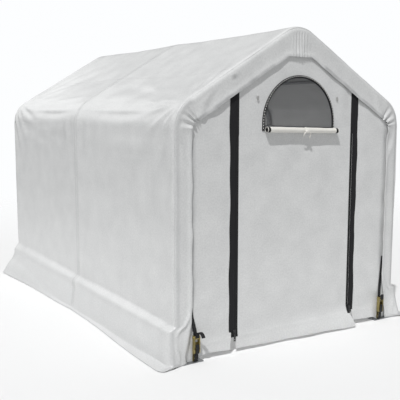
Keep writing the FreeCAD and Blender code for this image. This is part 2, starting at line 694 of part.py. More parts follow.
def main():
    os.makedirs("parts", exist_ok=True)
    nodes = build()
    for name, shapes in nodes.items():
        solids = [solid for shape in shapes for solid in shape.Solids]
        for solid in solids:
            if not solid.isValid() or solid.Volume <= 0:
                raise SystemExit(f"{name}: a solid is not valid")
        whole = solids[0] if len(solids) == 1 else Part.makeCompound(solids)
        whole.exportStep(f"parts/{name}.step")
        b = whole.BoundBox
        print(f"{name}: {len(solids)} solids, {whole.Volume / 1000:.1f} cm3, "
              f"x {b.XMin:.1f} {b.XMax:.1f}, y {b.YMin:.1f} {b.YMax:.1f}, z {b.ZMin:.1f} {b.ZMax:.1f}")
    print(len(nodes), "nodes")


main()
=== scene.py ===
# %% [markdown]
# A portable peak-roof shelter for calves, lambs or plants. A bolted steel tube frame stands under a
# tensioned cover of woven film. The frame, bolts, ratchets and zipper sliders come from the CAD model
# and keep their shapes. Everything made of cloth is built here as real sheets, in metres, in the CAD's
# own frame: +X right, -Y towards the door, +Z up, with the origin on the ground.

# %% Load the CAD model
import json
import math

import bpy
import numpy as np
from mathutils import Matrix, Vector


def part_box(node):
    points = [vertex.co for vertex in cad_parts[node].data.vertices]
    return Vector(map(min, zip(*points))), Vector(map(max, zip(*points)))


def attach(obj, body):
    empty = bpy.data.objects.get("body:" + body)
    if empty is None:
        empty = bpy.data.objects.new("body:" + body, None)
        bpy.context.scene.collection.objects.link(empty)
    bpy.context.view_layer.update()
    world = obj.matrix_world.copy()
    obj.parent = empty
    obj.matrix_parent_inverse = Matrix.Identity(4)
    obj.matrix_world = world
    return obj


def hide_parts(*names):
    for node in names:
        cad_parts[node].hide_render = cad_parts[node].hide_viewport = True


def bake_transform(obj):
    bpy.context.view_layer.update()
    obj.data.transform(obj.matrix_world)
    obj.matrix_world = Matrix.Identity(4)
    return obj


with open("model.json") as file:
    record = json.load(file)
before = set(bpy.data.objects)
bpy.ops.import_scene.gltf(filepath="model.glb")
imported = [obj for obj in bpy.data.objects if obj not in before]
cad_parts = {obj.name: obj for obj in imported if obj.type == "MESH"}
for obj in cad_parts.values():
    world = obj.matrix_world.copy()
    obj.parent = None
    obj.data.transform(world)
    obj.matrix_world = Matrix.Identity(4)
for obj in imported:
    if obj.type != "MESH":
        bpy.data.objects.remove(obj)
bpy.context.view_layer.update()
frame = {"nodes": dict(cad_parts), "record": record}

# %% [markdown]
# The driving sizes are read off the CAD nodes, so that a change there moves the cloth too. The two
# numbers that no box gives are the virtual ridge and eave heights, where the flat planes would meet
# without the rounded bends.

# %% Sizes of the shelter
HALF_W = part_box("cover_wall_right")[1].x
HALF_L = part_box("cover_hem_rear")[1].y
RIDGE_Z, EAVE_Z = 2.000, 1.468
PITCH = math.atan2(RIDGE_Z - EAVE_Z, HALF_W)
BEND = 0.2005                                   # outer radius of the cloth over a bend
PEAK_Z = RIDGE_Z - BEND / math.cos(PITCH)       # height of the peak bend's centre
SHOULDER_X = HALF_W - BEND
SHOULDER_Z = PEAK_Z - SHOULDER_X * math.tan(PITCH)
RIB_Y = (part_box("leg_rear_left")[0].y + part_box("leg_rear_left")[1].y) / 2
PANEL_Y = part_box("gable_panel")[0].y            # outer face of the door end's cloth
DOOR_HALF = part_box("door_panel_1")[1].x
FOLD_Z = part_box("door_panel_1")[1].z
print(f"half width {HALF_W:.3f}, half length {HALF_L:.3f}, pitch {math.degrees(PITCH):.1f} degrees")

# %% [markdown]
# The camera stands at eye height off the front left corner and looks a little down. A 61 mm lens from
# five and a half metres keeps the perspective gentle, so the long side and the door end both show.

# %% Camera
CAMERA_PLACE = (-2.820, -4.641, 1.464)
CAMERA_TURN = math.radians(32.82)
CAMERA_DOWN = math.radians(7.54)
bpy.ops.object.camera_add(location=CAMERA_PLACE,
                          rotation=(math.pi / 2 - CAMERA_DOWN, 0, -CAMERA_TURN))
camera = bpy.context.object
camera.name = "camera"
camera.data.lens = 61.4
camera.data.sensor_width = 36.0
camera.data.clip_end = 100
bpy.context.scene.camera = camera

# %% [markdown]
# A white cover shows its folds only by soft changes of tone, so an even sky fills the shadows. One
# steep sun, slightly in front and to the left, brightens the roof and drops the short shadow under
# the rolled window cover. A wide lamp from the front right keeps the door end open, and one behind
# the shelter puts a sheen on the eave and the slope. The floor fades out a few metres away.

# %% Floor and sky
def plain_material(name, color, roughness):
    material = bpy.data.materials.new(name)
    material.use_nodes = True
    shader = material.node_tree.nodes["Principled BSDF"]
    shader.inputs["Base Color"].default_value = (*color, 1)
    shader.inputs["Roughness"].default_value = roughness
    return material


bpy.ops.mesh.primitive_plane_add(size=400, location=(0, 0, -0.001))
floor = bpy.context.object
floor.name = "floor"
floor.data.materials.append(plain_material("pale_floor", (0.78, 0.78, 0.78), 0.9))
FADE_FROM, FADE_TO = 2.4, 7.0                   # metres from the middle of the floor
ground = floor.data.materials[0].node_tree
place = ground.nodes.new("ShaderNodeTexCoord")
away = ground.nodes.new("ShaderNodeVectorMath")
away.operation = "LENGTH"
fade = ground.nodes.new("ShaderNodeMapRange")
fade.inputs["From Min"].default_value, fade.inputs["From Max"].default_value = FADE_FROM, FADE_TO
clear, blend = ground.nodes.new("ShaderNodeBsdfTransparent"), ground.nodes.new("ShaderNodeMixShader")
for source, target in ((place.outputs["Object"], away.inputs[0]),
                       (away.outputs["Value"], fade.inputs["Value"]),
                       (fade.outputs["Result"], blend.inputs[0]),
                       (ground.nodes["Principled BSDF"].outputs[0], blend.inputs[1]),
                       (clear.outputs[0], blend.inputs[2]),
                       (blend.outputs[0], ground.nodes["Material Output"].inputs["Surface"])):
    ground.links.new(source, target)

world = bpy.data.worlds.new("studio_sky")
bpy.context.scene.world = world
world.use_nodes = True
sky = world.node_tree.nodes["Background"]
sky.inputs["Color"].default_value = (0.98, 0.99, 1.0, 1)
rays = world.node_tree.nodes.new("ShaderNodeLightPath")
bright = world.node_tree.nodes.new("ShaderNodeMapRange")     # white behind, softer as a lamp
world.node_tree.links.new(rays.outputs["Is Camera Ray"], bright.inputs["Value"])
bright.inputs["To Min"].default_value = 0.36
bright.inputs["To Max"].default_value = 1.0
world.node_tree.links.new(bright.outputs["Result"], sky.inputs["Strength"])
bpy.context.scene.view_settings.view_transform = "Standard"  # keeps white film white

print("floor and sky are set")

# %% Lamps
def lamp(kind, place, way, energy):
    """A light at a place whose light travels along a way."""
    bpy.ops.object.light_add(type=kind, location=place)
    light = bpy.context.object
    light.rotation_euler = Vector(way).to_track_quat("-Z", "Y").to_euler()
    light.data.energy = energy
    return light


sun = lamp("SUN", (-3, -2, 8), (2.0, 1.6, -4.0), 2.85)
sun.data.angle = math.radians(1.2)
fill = lamp("AREA", (3.5, -6.0, 2.5), (-3.5, 6.0, -1.2), 12)
fill.data.size = 4.0
sheen = lamp("AREA", (-2.0, 8.5, 5.0), (1.4, -8.5, -3.4), 75)
sheen.data.shape = "RECTANGLE"
sheen.data.size, sheen.data.size_y = 6.5, 4.0
sheen.visible_camera = False
bpy.ops.object.light_add(type="AREA", location=(0, 0, 1.62))
glow = bpy.context.object                       # stands for daylight that passes through the cloth
glow.data.shape = "RECTANGLE"
glow.data.size, glow.data.size_y = 0.8, 2.5
glow.data.energy = 15
print("sun, fill, sheen and inside glow are set")

# %% [markdown]
# All the cloth and tape share one effect: threads that cross. A node group makes it once from the
# sheet's own UV map, which holds metres, so the threads keep their size and follow every fold. Its
# inputs are the thread spacing and the strength of the tone changes, and it gives a colour factor,
# a roughness and a height.

# %% Node helpers
def link(tree, source, target):
    tree.links.new(source, target)


def math_node(tree, operation, a, b=None, clamp=False):
    """A math node; a and b are sockets or numbers."""
    node = tree.nodes.new("ShaderNodeMath")
    node.operation = operation
    node.use_clamp = clamp
    for value, socket in zip((a, b), node.inputs):
        if value is None:
            continue
        if isinstance(value, (int, float)):
            socket.default_value = value
        else:
            link(tree, value, socket)
    return node.outputs[0]


def noise_node(tree, vector, scale, detail=2.0, roughness=0.5):
    node = tree.nodes.new("ShaderNodeTexNoise")
    node.inputs["Scale"].default_value = scale
    node.inputs["Detail"].default_value = detail
    node.inputs["Roughness"].default_value = roughness
    link(tree, vector, node.inputs["Vector"])
    return node.outputs["Fac"]


def map_range(tree, value, low, high, to_low, to_high):
    node = tree.nodes.new("ShaderNodeMapRange")
    link(tree, value, node.inputs["Value"])
    for name, number in (("From Min", low), ("From Max", high), ("To Min", to_low), ("To Max", to_high)):
        node.inputs[name].default_value = number
    return node.outputs["Result"]


def new_group(name, inputs, outputs):
    """An empty node group with a Vector input: its tree, its inner sockets and its outer ones."""
    tree = bpy.data.node_groups.new(name, "ShaderNodeTree")
    tree.interface.new_socket("Vector", in_out="INPUT", socket_type="NodeSocketVector")
    for label, start in inputs.items():
        socket = tree.interface.new_socket(label, in_out="INPUT", socket_type="NodeSocketFloat")
        socket.default_value = start
    for label in outputs:
        tree.interface.new_socket(label, in_out="OUTPUT", socket_type="NodeSocketFloat")
    inside, outside = tree.nodes.new("NodeGroupInput"), tree.nodes.new("NodeGroupOutput")
    return tree, inside.outputs, outside.inputs


print("node helpers are ready")

# %% The woven threads group
def woven_group():
    """Crossing threads with mottling. Vector in metres; Threads per metre; Mottle is the tone change."""
    tree, given, wanted = new_group("woven_threads", {"Threads": 400.0, "Mottle": 0.06},
                                    ("Tone", "Height", "Cloudy"))
    split = tree.nodes.new("ShaderNodeSeparateXYZ")
    link(tree, given["Vector"], split.inputs[0])
    waves = []
    for axis in ("X", "Y"):
        turns = math_node(tree, "MULTIPLY", split.outputs[axis], given["Threads"])
        phase = math_node(tree, "MULTIPLY", turns, 2 * math.pi)
        waves.append(math_node(tree, "SINE", phase))
    threads = math_node(tree, "MULTIPLY", waves[0], waves[1])
    height = map_range(tree, threads, -1, 1, 0, 1)
    cloudy = noise_node(tree, given["Vector"], 7.0, 4.0, 0.6)
    speckle = noise_node(tree, given["Vector"], 95.0, 3.0, 0.7)
    both = math_node(tree, "ADD", math_node(tree, "MULTIPLY", cloudy, 0.4),
                     math_node(tree, "MULTIPLY", speckle, 0.6))
    centred = math_node(tree, "SUBTRACT", both, 0.5)
    swing = math_node(tree, "MULTIPLY", centred, given["Mottle"])
    fine = math_node(tree, "MULTIPLY", math_node(tree, "SUBTRACT", height, 0.5), 0.03)
    tone = math_node(tree, "ADD", math_node(tree, "ADD", swing, fine), 1.0)
    for label, value in (("Tone", tone), ("Height", height), ("Cloudy", cloudy)):
        link(tree, value, wanted[label])
    return tree


WOVEN = woven_group()


def finish_group():
    """Wear and dust on metal: patches of tone and a roughness that changes with them."""
    tree, given, wanted = new_group("metal_finish", {"Grain": 200.0}, ("Patches", "Roughness", "Height"))
    cells = tree.nodes.new("ShaderNodeTexVoronoi")
    link(tree, given["Vector"], cells.inputs["Vector"])
    link(tree, given["Grain"], cells.inputs["Scale"])
    streaks = noise_node(tree, given["Vector"], 24.0, 4.0, 0.6)
    patches = math_node(tree, "ADD", math_node(tree, "MULTIPLY", cells.outputs["Distance"], 0.35),
                        math_node(tree, "MULTIPLY", streaks, 0.65), clamp=True)
    link(tree, patches, wanted["Patches"])
    link(tree, map_range(tree, patches, 0.2, 0.8, 0.26, 0.48), wanted["Roughness"])
    link(tree, noise_node(tree, given["Vector"], 400.0, 2.0), wanted["Height"])
    return tree


METAL = finish_group()
print("node groups:", [g.name for g in bpy.data.node_groups])

# %% [markdown]
# The cover is a reinforced film: a white woven core between two clear layers. So it is a little
# glossy, and its threads show as a fine grid. Near the ground it picks up a trace of grey dust. Where
# the tubes and webbing lie right behind it, the colour is greyed as painted shade, which the mesh
# carries as an attribute. Black tape, webbing and the insect screen take the same threads with
# other colours and spacings.

# %% Cloth materials
def coords(tree, kind):
    node = tree.nodes.new("ShaderNodeTexCoord")
    return node.outputs[kind]


def tinted(tree, factor, dark, light):
    """Colour between two by a factor."""
    node = tree.nodes.new("ShaderNodeMix")
    node.data_type = "RGBA"
    link(tree, factor, node.inputs["Factor"])
    node.inputs["A"].default_value = (*dark, 1)
    node.inputs["B"].default_value = (*light, 1)
    return node.outputs["Result"]


def bumped(tree, shader, height, strength, distance):
    node = tree.nodes.new("ShaderNodeBump")
    node.inputs["Strength"].default_value = strength
    node.inputs["Distance"].default_value = distance
    link(tree, height, node.inputs["Height"])
    link(tree, node.outputs["Normal"], shader.inputs["Normal"])


def grouped_material(name, group, kind, **values):
    """A material with one of the groups in it: the material, its tree, its shader and the group."""
    material = plain_material(name, (0.5, 0.5, 0.5), 0.5)
    tree = material.node_tree
    node = tree.nodes.new("ShaderNodeGroup")
    node.node_tree = group
    for label, value in values.items():
        node.inputs[label].default_value = value
    link(tree, coords(tree, kind), node.inputs["Vector"])
    return material, tree, tree.nodes["Principled BSDF"], node


def woven_material(name, dark, light, threads, mottle, rough, bump, dust_and_painted_shade=False):
    """Woven cloth whose tone runs from dark to light."""
    material, tree, shader, weave = grouped_material(name, WOVEN, "UV", Threads=threads, Mottle=mottle)
    factor = map_range(tree, weave.outputs["Tone"], 0.94, 1.06, 0, 1)
    if dust_and_painted_shade:
        split = tree.nodes.new("ShaderNodeSeparateXYZ")
        link(tree, coords(tree, "Object"), split.inputs[0])
        low = map_range(tree, split.outputs["Z"], 0.0, 0.35, 0.55, 0.0)
        dust = math_node(tree, "MULTIPLY", low, weave.outputs["Cloudy"])
        factor = math_node(tree, "SUBTRACT", factor, dust, clamp=True)
    color = tinted(tree, factor, dark, light)
    if dust_and_painted_shade:
        # Painted shade: the mesh attribute mixes the colour towards a dark grey where tubes and webbing
        # lie behind the film.
        painted_shade = tree.nodes.new("ShaderNodeAttribute")
        painted_shade.attribute_name = "painted_shade"
        shade = tree.nodes.new("ShaderNodeMix")
        shade.data_type = "RGBA"
        link(tree, painted_shade.outputs["Fac"], shade.inputs["Factor"])
        link(tree, color, shade.inputs["A"])
        shade.inputs["B"].default_value = (0.25, 0.255, 0.26, 1)
        color = shade.outputs["Result"]
        shader.inputs["Coat Weight"].default_value = 0.35
        shader.inputs["Coat Roughness"].default_value = 0.22
    link(tree, color, shader.inputs["Base Color"])
    link(tree, map_range(tree, weave.outputs["Cloudy"], 0.3, 0.7, rough[0], rough[1]),
         shader.inputs["Roughness"])
    bumped(tree, shader, weave.outputs["Height"], bump, 0.0006)
    return material


film = woven_material("white_woven_film", (0.56, 0.565, 0.565), (0.74, 0.745, 0.74),
                      threads=210, mottle=0.30, rough=(0.34, 0.50), bump=0.25, dust_and_painted_shade=True)
tape = woven_material("black_zipper_tape", (0.010, 0.010, 0.011), (0.026, 0.026, 0.028),
                      threads=640, mottle=0.10, rough=(0.80, 0.92), bump=0.5)
webbing = woven_material("black_webbing", (0.008, 0.008, 0.009), (0.040, 0.040, 0.042),
                         threads=420, mottle=0.12, rough=(0.55, 0.75), bump=0.9)
cream = woven_material("rolled_cover_film", (0.66, 0.645, 0.60), (0.84, 0.825, 0.78),
                       threads=420, mottle=0.10, rough=(0.32, 0.45), bump=0.2)


def screen_material():
    """Insect screen: black threads with open squares between them."""
    material, tree, shader, weave = grouped_material("insect_screen", WOVEN, "UV",
                                                     Threads=330.0, Mottle=0.08)
    factor = map_range(tree, weave.outputs["Tone"], 0.94, 1.06, 0, 1)
    link(tree, tinted(tree, factor, (0.030, 0.030, 0.032), (0.075, 0.075, 0.080)),
         shader.inputs["Base Color"])
    link(tree, map_range(tree, weave.outputs["Height"], 0, 1, 0.48, 0.74), shader.inputs["Alpha"])
    shader.inputs["Roughness"].default_value = 0.7
    return material


for dark_cloth in (tape, webbing):
    dark_cloth.node_tree.nodes["Principled BSDF"].inputs["Specular IOR Level"].default_value = 0.2
screen = screen_material()
print("cloth:", film.name, tape.name, webbing.name, cream.name, screen.name)

# %% [markdown]
# Each metal finish is a metal or lacquer colour broken up by the shared finish group: zinc shows
# faint crystal patches, and the yellow passivated ratchets shift between gold and olive.

# %% Metal materials
def metal_material(name, dark, light, metallic, grain):
    material, tree, shader, wear = grouped_material(name, METAL, "Object", Grain=grain)
    link(tree, tinted(tree, wear.outputs["Patches"], dark, light), shader.inputs["Base Color"])
    link(tree, wear.outputs["Roughness"], shader.inputs["Roughness"])
    shader.inputs["Metallic"].default_value = metallic
    bumped(tree, shader, wear.outputs["Height"], 0.25, 0.0004)
    return material


galvanised = metal_material("galvanised_steel", (0.22, 0.23, 0.24), (0.44, 0.45, 0.46), 0.9, 90)
bright_zinc = metal_material("bright_zinc", (0.50, 0.51, 0.53), (0.76, 0.77, 0.79), 1.0, 260)
yellow_zinc = metal_material("yellow_zinc", (0.20, 0.17, 0.05), (0.60, 0.50, 0.25), 0.85, 150)
lacquer = metal_material("black_lacquer", (0.010, 0.010, 0.011), (0.045, 0.045, 0.048), 0.2, 300)
plastic = metal_material("grey_plastic", (0.32, 0.32, 0.31), (0.48, 0.48, 0.46), 0.0, 220)

FINISHES = {"galvanised_tube": galvanised, "bright_zinc": bright_zinc, "yellow_zinc": yellow_zinc,
            "black_metal": lacquer}
for part in frame["record"]["subparts"]:
    finish = FINISHES.get(part["material_slot"])
    if finish:
        node = frame["nodes"][part["node"]]
        node.data.materials.clear()
        node.data.materials.append(finish)
print("metal finishes are on the CAD nodes")

# %% [markdown]
# A sheet starts as a grid of points, one row after another, made by a formula. The helper below turns
# such a grid into a mesh with a UV map in metres. Solidify then gives the cloth its thickness, and
# smoothing by angle keeps the folds soft and the cut edges crisp.

# %% Sheet helpers
CLOTH_T = 0.0016


def select_only(piece):
    bpy.ops.object.select_all(action="DESELECT")
    piece.select_set(True)
    bpy.context.view_layer.objects.active = piece


def apply_all(piece):
    select_only(piece)
    for modifier in list(piece.modifiers):
        bpy.ops.object.modifier_apply(modifier=modifier.name)


def grid_mesh(name, points, uv, facing, closed=False, painted_shade=None):
    """Mesh of a grid of points whose faces look towards `facing`; closed joins last row to first."""
    rows, columns = points.shape[:2]
    index = np.arange(rows * columns).reshape(rows, columns)
    if closed:
        index = np.vstack([index, index[:1]])
    quads = np.stack([index[:-1, :-1], index[1:, :-1], index[1:, 1:], index[:-1, 1:]], -1).reshape(-1, 4)
    flat = points.reshape(-1, 3)
    a, b, c = flat[quads[:, 0]], flat[quads[:, 1]], flat[quads[:, 2]]
    middle = facing(a) if callable(facing) else np.array(facing, float)
    if (np.cross(b - a, c - a) * middle).sum() < 0:
        quads = quads[:, ::-1]
    mesh = bpy.data.meshes.new(name)
    mesh.from_pydata(flat.tolist(), [], quads.tolist())
    layer = mesh.uv_layers.new(name="UVMap")
    corners = np.zeros(len(mesh.loops), int)
    mesh.loops.foreach_get("vertex_index", corners)
    layer.data.foreach_set("uv", uv.reshape(-1, 2)[corners].astype(np.float32).ravel())
    # The optional array is painted shade, kept as a float attribute on the points.
    if painted_shade is not None:
        tone = mesh.attributes.new("painted_shade", "FLOAT", "POINT")
        tone.data.foreach_set("value", np.clip(painted_shade, 0, 1).astype(np.float32).ravel())
    piece = bpy.data.objects.new(name, mesh)
    bpy.context.scene.collection.objects.link(piece)
    return piece


def finish_sheet(piece, material, thickness=CLOTH_T, soft_angle=50, offset=-1, edge=None, on_edge=None):
    """Material, thickness (inwards unless offset says else) and smoothing; edge marks faces in tape."""
    piece.data.materials.append(material)
    if edge:
        piece.data.materials.append(edge)
        for face in piece.data.polygons:
            face.material_index = 1 if on_edge(face.center) else 0
    solid = piece.modifiers.new("thickness", "SOLIDIFY")
    solid.thickness, solid.offset = thickness, offset
    apply_all(piece)
    bpy.ops.object.shade_smooth_by_angle(angle=math.radians(soft_angle))
    return piece


def on_shelter(piece, slot, *replaced):
    """Ties a piece to the shelter, in the place of CAD nodes; the slot argument is not used."""
    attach(piece, "shelter")
    if replaced:
        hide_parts(*replaced)
    return piece


def table(*columns):
    """A grid of points or UVs from arrays that broadcast together."""
    return np.stack(np.broadcast_arrays(*columns), axis=-1)


def smooth(x, low, high):
    """0 before low, 1 after high, smooth between."""
    t = np.clip((x - low) / (high - low), 0, 1)
    return t * t * (3 - 2 * t)


def hump(x, centre, width):
    return np.exp(-((x - centre) / width) ** 2)


def ripple(a, b, waves):
    """A sum of long waves over two coordinates, as cloth that isn't quite taut."""
    return sum(size * np.sin(2 * math.pi * (p * a + q * b) + phase) for size, p, q, phase in waves)


def crease(a, b, start, end, width):
    """1 along a line between two points of the (a, b) plane, fading across it and at its ends."""
    da, db = end[0] - start[0], end[1] - start[1]
    size = math.hypot(da, db)
    along = ((a - start[0]) * da + (b - start[1]) * db) / size ** 2
    across = ((a - start[0]) * db - (b - start[1]) * da) / size
    return hump(across, 0, width) * smooth(along, -0.02, 0.25) * (1 - smooth(along, 0.75, 1.02))


print("sheet helpers are ready")

# %% [markdown]
# The cover is one sheet of about five by three metres. Across the shelter it follows the ribs: up one
# wall, over the shoulder, the slope and the ridge, and down again, with a pocket for the cover rail
# and a skirt on the ground. Along the shelter it turns round each end rib and runs inwards as a hem.
# So it is built as one grid: stations across times stations along, and no joins between panels.

# %% Stations of the cross-section
RAIL_Z = (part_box("cover_rails")[0].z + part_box("cover_rails")[1].z) / 2
POCKET_TOP = 0.290                              # the wall cloth is straight above this
SKIRT_LOW = 0.004
RIB_BULGE, BAY_BULGE = 0.0335, 0.0460           # how far the pocket stands out, at ribs and between


def side_outline(z, y):
    """Distance of the cover from the middle plane, below the shoulder: wall, pocket and skirt."""
    bay = np.abs(np.sin(math.pi * y / RIB_Y)) ** 0.6 * (np.abs(y) < RIB_Y)
    bulge = RIB_BULGE + (BAY_BULGE - RIB_BULGE) * bay
    top = 0.256 + 0.016 * y + 0.012 * bay
    bulge = bulge + 0.0075 * smooth(np.abs(y), 1.28, 1.36)      # clear of the rail's end
    out = bulge * smooth(-z, -top, -(RAIL_Z + 0.004))
    rear = smooth(y, 0.15, 1.20)
    kink = 0.017 + 0.105 * rear                 # the skirt turns outwards below this height
    out = out + 0.020 * np.clip((0.180 - z) / (0.180 - kink), 0, 1)
    foot = 0.968 + 0.058 * np.clip(-y / 1.35, 0, 1) + 0.070 * np.clip(y / 1.35, 0, 1) - HALF_W
    turned = np.clip((kink - z) / (kink - SKIRT_LOW), 0, 1) ** 0.85
    return HALF_W + out + (foot - bulge - 0.020) * turned


def right_half():
    """Points and inward directions of the right half outline, from the ridge to the ground."""
    x, z, dx, dz = [], [], [], []
    for angle in np.linspace(0, PITCH, 24, endpoint=False):
        x.append(BEND * math.sin(angle)), z.append(PEAK_Z + BEND * math.cos(angle))
        dx.append(-math.sin(angle)), dz.append(-math.cos(angle))
    start, length = BEND * math.sin(PITCH), SHOULDER_X / math.cos(PITCH)
    for run in np.concatenate([np.arange(0, 0.1, 0.005), np.linspace(0.1, length, 27)[:-1]]):
        x.append(start + run * math.cos(PITCH))
        z.append(PEAK_Z + BEND * math.cos(PITCH) - run * math.sin(PITCH))
        dx.append(-math.sin(PITCH)), dz.append(-math.cos(PITCH))
    for angle in np.linspace(PITCH, math.pi / 2, 22, endpoint=False):
        x.append(SHOULDER_X + BEND * math.sin(angle)), z.append(SHOULDER_Z + BEND * math.cos(angle))
        dx.append(-math.sin(angle)), dz.append(-math.cos(angle))
    low = np.concatenate([np.linspace(SHOULDER_Z, POCKET_TOP, 30, endpoint=False),
                          np.linspace(POCKET_TOP, 0.18, 14, endpoint=False),
                          np.linspace(0.18, 0.02, 11, endpoint=False),
                          np.linspace(0.02, SKIRT_LOW, 5)])
    x += list(side_outline(low, -HALF_L))
    z += list(low)
    dx += [-1.0] * len(low)
    dz += [0.0] * len(low)
    return np.array([x, z, dx, dz])


right = right_half()
left = right[:, :0:-1] * np.array([[-1], [1], [-1], [1]])
OUT_X, OUT_Z, IN_X, IN_Z = np.hstack([left, right])
steps = np.hypot(np.diff(OUT_X), np.diff(OUT_Z))
ACROSS = np.concatenate([[0], np.cumsum(steps)])
ACROSS -= ACROSS[len(ACROSS) // 2]              # 0 at the ridge, + on the right
print(len(OUT_X), "stations across,", f"{ACROSS[-1] - ACROSS[0]:.2f} m from hem to hem")

# %% [markdown]
# The hem is 140 mm deep along the roof and 115 mm down the walls. Under the ridge it is cut level, and
# near the ground its inner edge leans towards the corner.

# %% Hem depths and stations along the shelter
TURN_R = 0.030                                  # the cloth turns round the end rib on this radius
BODY_END = HALF_L - TURN_R
LEVEL_Z = 1.784                                 # the level edge under the ridge
HEM_ROOF, HEM_SIDE = 0.140, 0.115


def hem_depths():
    depth = np.where(OUT_Z > SHOULDER_Z, HEM_ROOF, HEM_SIDE)
    turn = smooth(np.arctan2(-IN_X * np.sign(OUT_X), -IN_Z), PITCH, math.pi / 2)
    depth = np.where(OUT_Z > SHOULDER_Z - 1e-6, HEM_ROOF + (HEM_SIDE - HEM_ROOF) * turn, depth)
    upper = OUT_Z > 1.75
    level = np.where(upper, (OUT_Z - LEVEL_Z) / np.maximum(-IN_Z, 0.5), 0)
    depth = np.where(upper, np.maximum(depth, np.minimum(level, 0.19)), depth)
    inner = HALF_W - HEM_SIDE + 0.045 * smooth(-OUT_Z, -0.32, 0)     # leans in near the ground
    low = OUT_Z < SHOULDER_Z
    depth = np.where(low, np.abs(OUT_X) - inner, depth)
    wander = 0.0025 * np.sin(ACROSS * 21) + 0.0015 * np.sin(ACROSS * 47 + 1)
    return depth + np.where(low, wander, 0.6 * wander)


DEPTH = hem_depths()


def along_stations():
    """Rows from the front hem's inner edge to the rear one: y, the fixed inset and the share of hem."""
    hem = [(-HALF_L, TURN_R, share) for share in np.linspace(1, 0, 14, endpoint=False)]
    turn = [(-BODY_END - TURN_R * math.sin(a), TURN_R * (1 - math.cos(a)), 0.0)
            for a in np.linspace(math.pi / 2, 0, 6, endpoint=False)]
    ends = np.arange(-BODY_END, -1.27, 0.013)
    middle = np.linspace(ends[-1] + 0.02, -0.07, 41)
    rib = np.arange(-0.06, 0, 0.0085)
    half = np.concatenate([ends, middle, rib])
    body = [(y, 0.0, 0.0) for y in np.concatenate([half, [0], -half[::-1]])]
    rear = [(-y, inset, share) for y, inset, share in (hem + turn)[::-1]]
    return np.array(hem + turn + body + rear)


ROWS = along_stations()
print(len(ROWS), "rows along,", f"hem {DEPTH.min():.3f} to {DEPTH.max():.3f} m deep")

# %% [markdown]
# Now the folds. Between two ribs the cloth hangs in a little, most along the purlins and the eaves,
# so each rib stands out as a soft edge. The film has no stretch: where it turns two ways at once, at
# the ridge and the shoulders of the hem, the spare length gathers in narrow pleats, and fans of fine
# creases run off the corners. Each kind of fold is one term of the displacement.

# %% The shape of the folds
BAY_WAVES = [(0.0011, 0.7, 1.1, 0.4), (0.0009, 1.9, -0.8, 1.3), (0.0007, 2.6, 2.1, 2.2),
             (0.0005, -1.2, 3.9, 0.9), (0.0004, 4.3, 1.7, 2.9)]
SAG_AT = [0.0, 0.35, 0.56, 0.86, 1.02, 1.16, 1.60, 2.00, 2.26]     # metres from the ridge
SAG = [0.006, 0.014, 0.021, 0.014, 0.024, 0.018, 0.013, 0.006, 0.0]
SHOULDER_S = 0.107 + SHOULDER_X / math.cos(PITCH)                  # start of the shoulder bend
WALL_S = SHOULDER_S + BEND * (math.pi / 2 - PITCH)                 # start of the wall
# Single creases on the left side: height, then start and end as (y, metres up from the top of the
# wall), then width. The first four cross the wall and the others run up the slope.
LEFT_CREASES = [(0.0080, (-0.16, -0.085), (-1.28, -0.115), 0.012),
                (0.0070, (0.10, -0.02), (1.22, -0.11), 0.017),
                (-0.0075, (1.30, 0.02), (0.55, -0.14), 0.030),
                (0.0055, (0.35, -0.15), (0.62, -0.13), 0.012),
                (0.0075, (-1.30, 0.16), (-0.42, 0.50), 0.030),
                (-0.0070, (-1.26, 0.22), (-0.20, 0.44), 0.034),
                (0.0060, (-1.24, 0.12), (-0.60, 0.29), 0.018),
                (0.0055, (0.10, 0.30), (1.10, 0.17), 0.030)]


def body_folds(s, y):
    """Outward displacement of the body; s is measured from the ridge, + on the right."""
    reach = np.abs(s)
    bay = 1 - np.abs(2 * np.abs(y) / RIB_Y - 1) ** 2.2
    folds = -np.interp(reach, SAG_AT, SAG) * np.clip(bay, 0, 1)
    eave = hump(reach, SHOULDER_S + 0.085, 0.018) - hump(reach, SHOULDER_S + 0.12, 0.03)
    folds = folds + 0.0050 * eave * np.clip(bay, 0, 1) * (0.7 + 0.3 * np.sin(5.3 * y + s))
    calm = smooth(np.abs(np.abs(y) - RIB_Y / 2), RIB_Y / 2, RIB_Y / 2 - 0.12)
    folds = folds + ripple(s, y, BAY_WAVES) * calm * (1 - 0.6 * smooth(reach, 2.1, 2.3))
    for side, strength in ((-1, 1.0), (1, 0.8)):
        for end in (-1, 1):
            run = RIB_Y - end * y                                   # from the end rib inwards
            drop = side * s - (SHOULDER_S + 0.02)                   # down from the shoulder
            angle = np.arctan2(drop, np.maximum(run, 1e-4) + 0.05)
            far = np.hypot(run, drop)
            fan = np.sin(19 * angle + 2.1 * side + end) + 0.5 * np.sin(33 * angle + 1.0)
            fade = smooth(far, 0.02, 0.16) * np.exp(-(far / 0.42) ** 2) * (side * s > 0)
            folds = folds + 0.0055 * strength * fan * fade
        mid_run, mid_drop = np.abs(y), side * s - WALL_S
        swag = np.sin(40 * np.hypot(mid_run + 0.02, 0.8 * (mid_drop + 0.02)) + 0.6 * side)
        folds = folds + (0.0048 * strength * swag * hump(mid_run, 0.17, 0.11)
                         * hump(mid_drop, 0.04, 0.11) * (side * s > 0))
    for high, start, end, width in LEFT_CREASES:
        folds = folds + high * crease(y, s + WALL_S, start, end, width)
    return folds


# Creases of the hem, in the same form. The share of the hem's depth comes second in each point.
BELOW_SHOULDER = [(0.0075, (0.10, 0.05), (0.24, 1.0), 0.026), (-0.0050, (0.05, 0.1), (0.17, 1.0), 0.026)]
DOWN_SLOPE = [(0.0065, (0.80, 0.1), (0.93, 0.95), 0.022), (-0.0045, (0.74, 0.15), (0.86, 1.0), 0.024)]
NEAR_GROUND = [(0.0080, (0.31, 1.0), (0.17, 0.1), 0.022), (0.0060, (0.13, 0.1), (0.03, 0.6), 0.018)]
BOLT_X, BOLT_Z = -0.489, 1.657                  # a frame bolt shows as a bump in the front hem


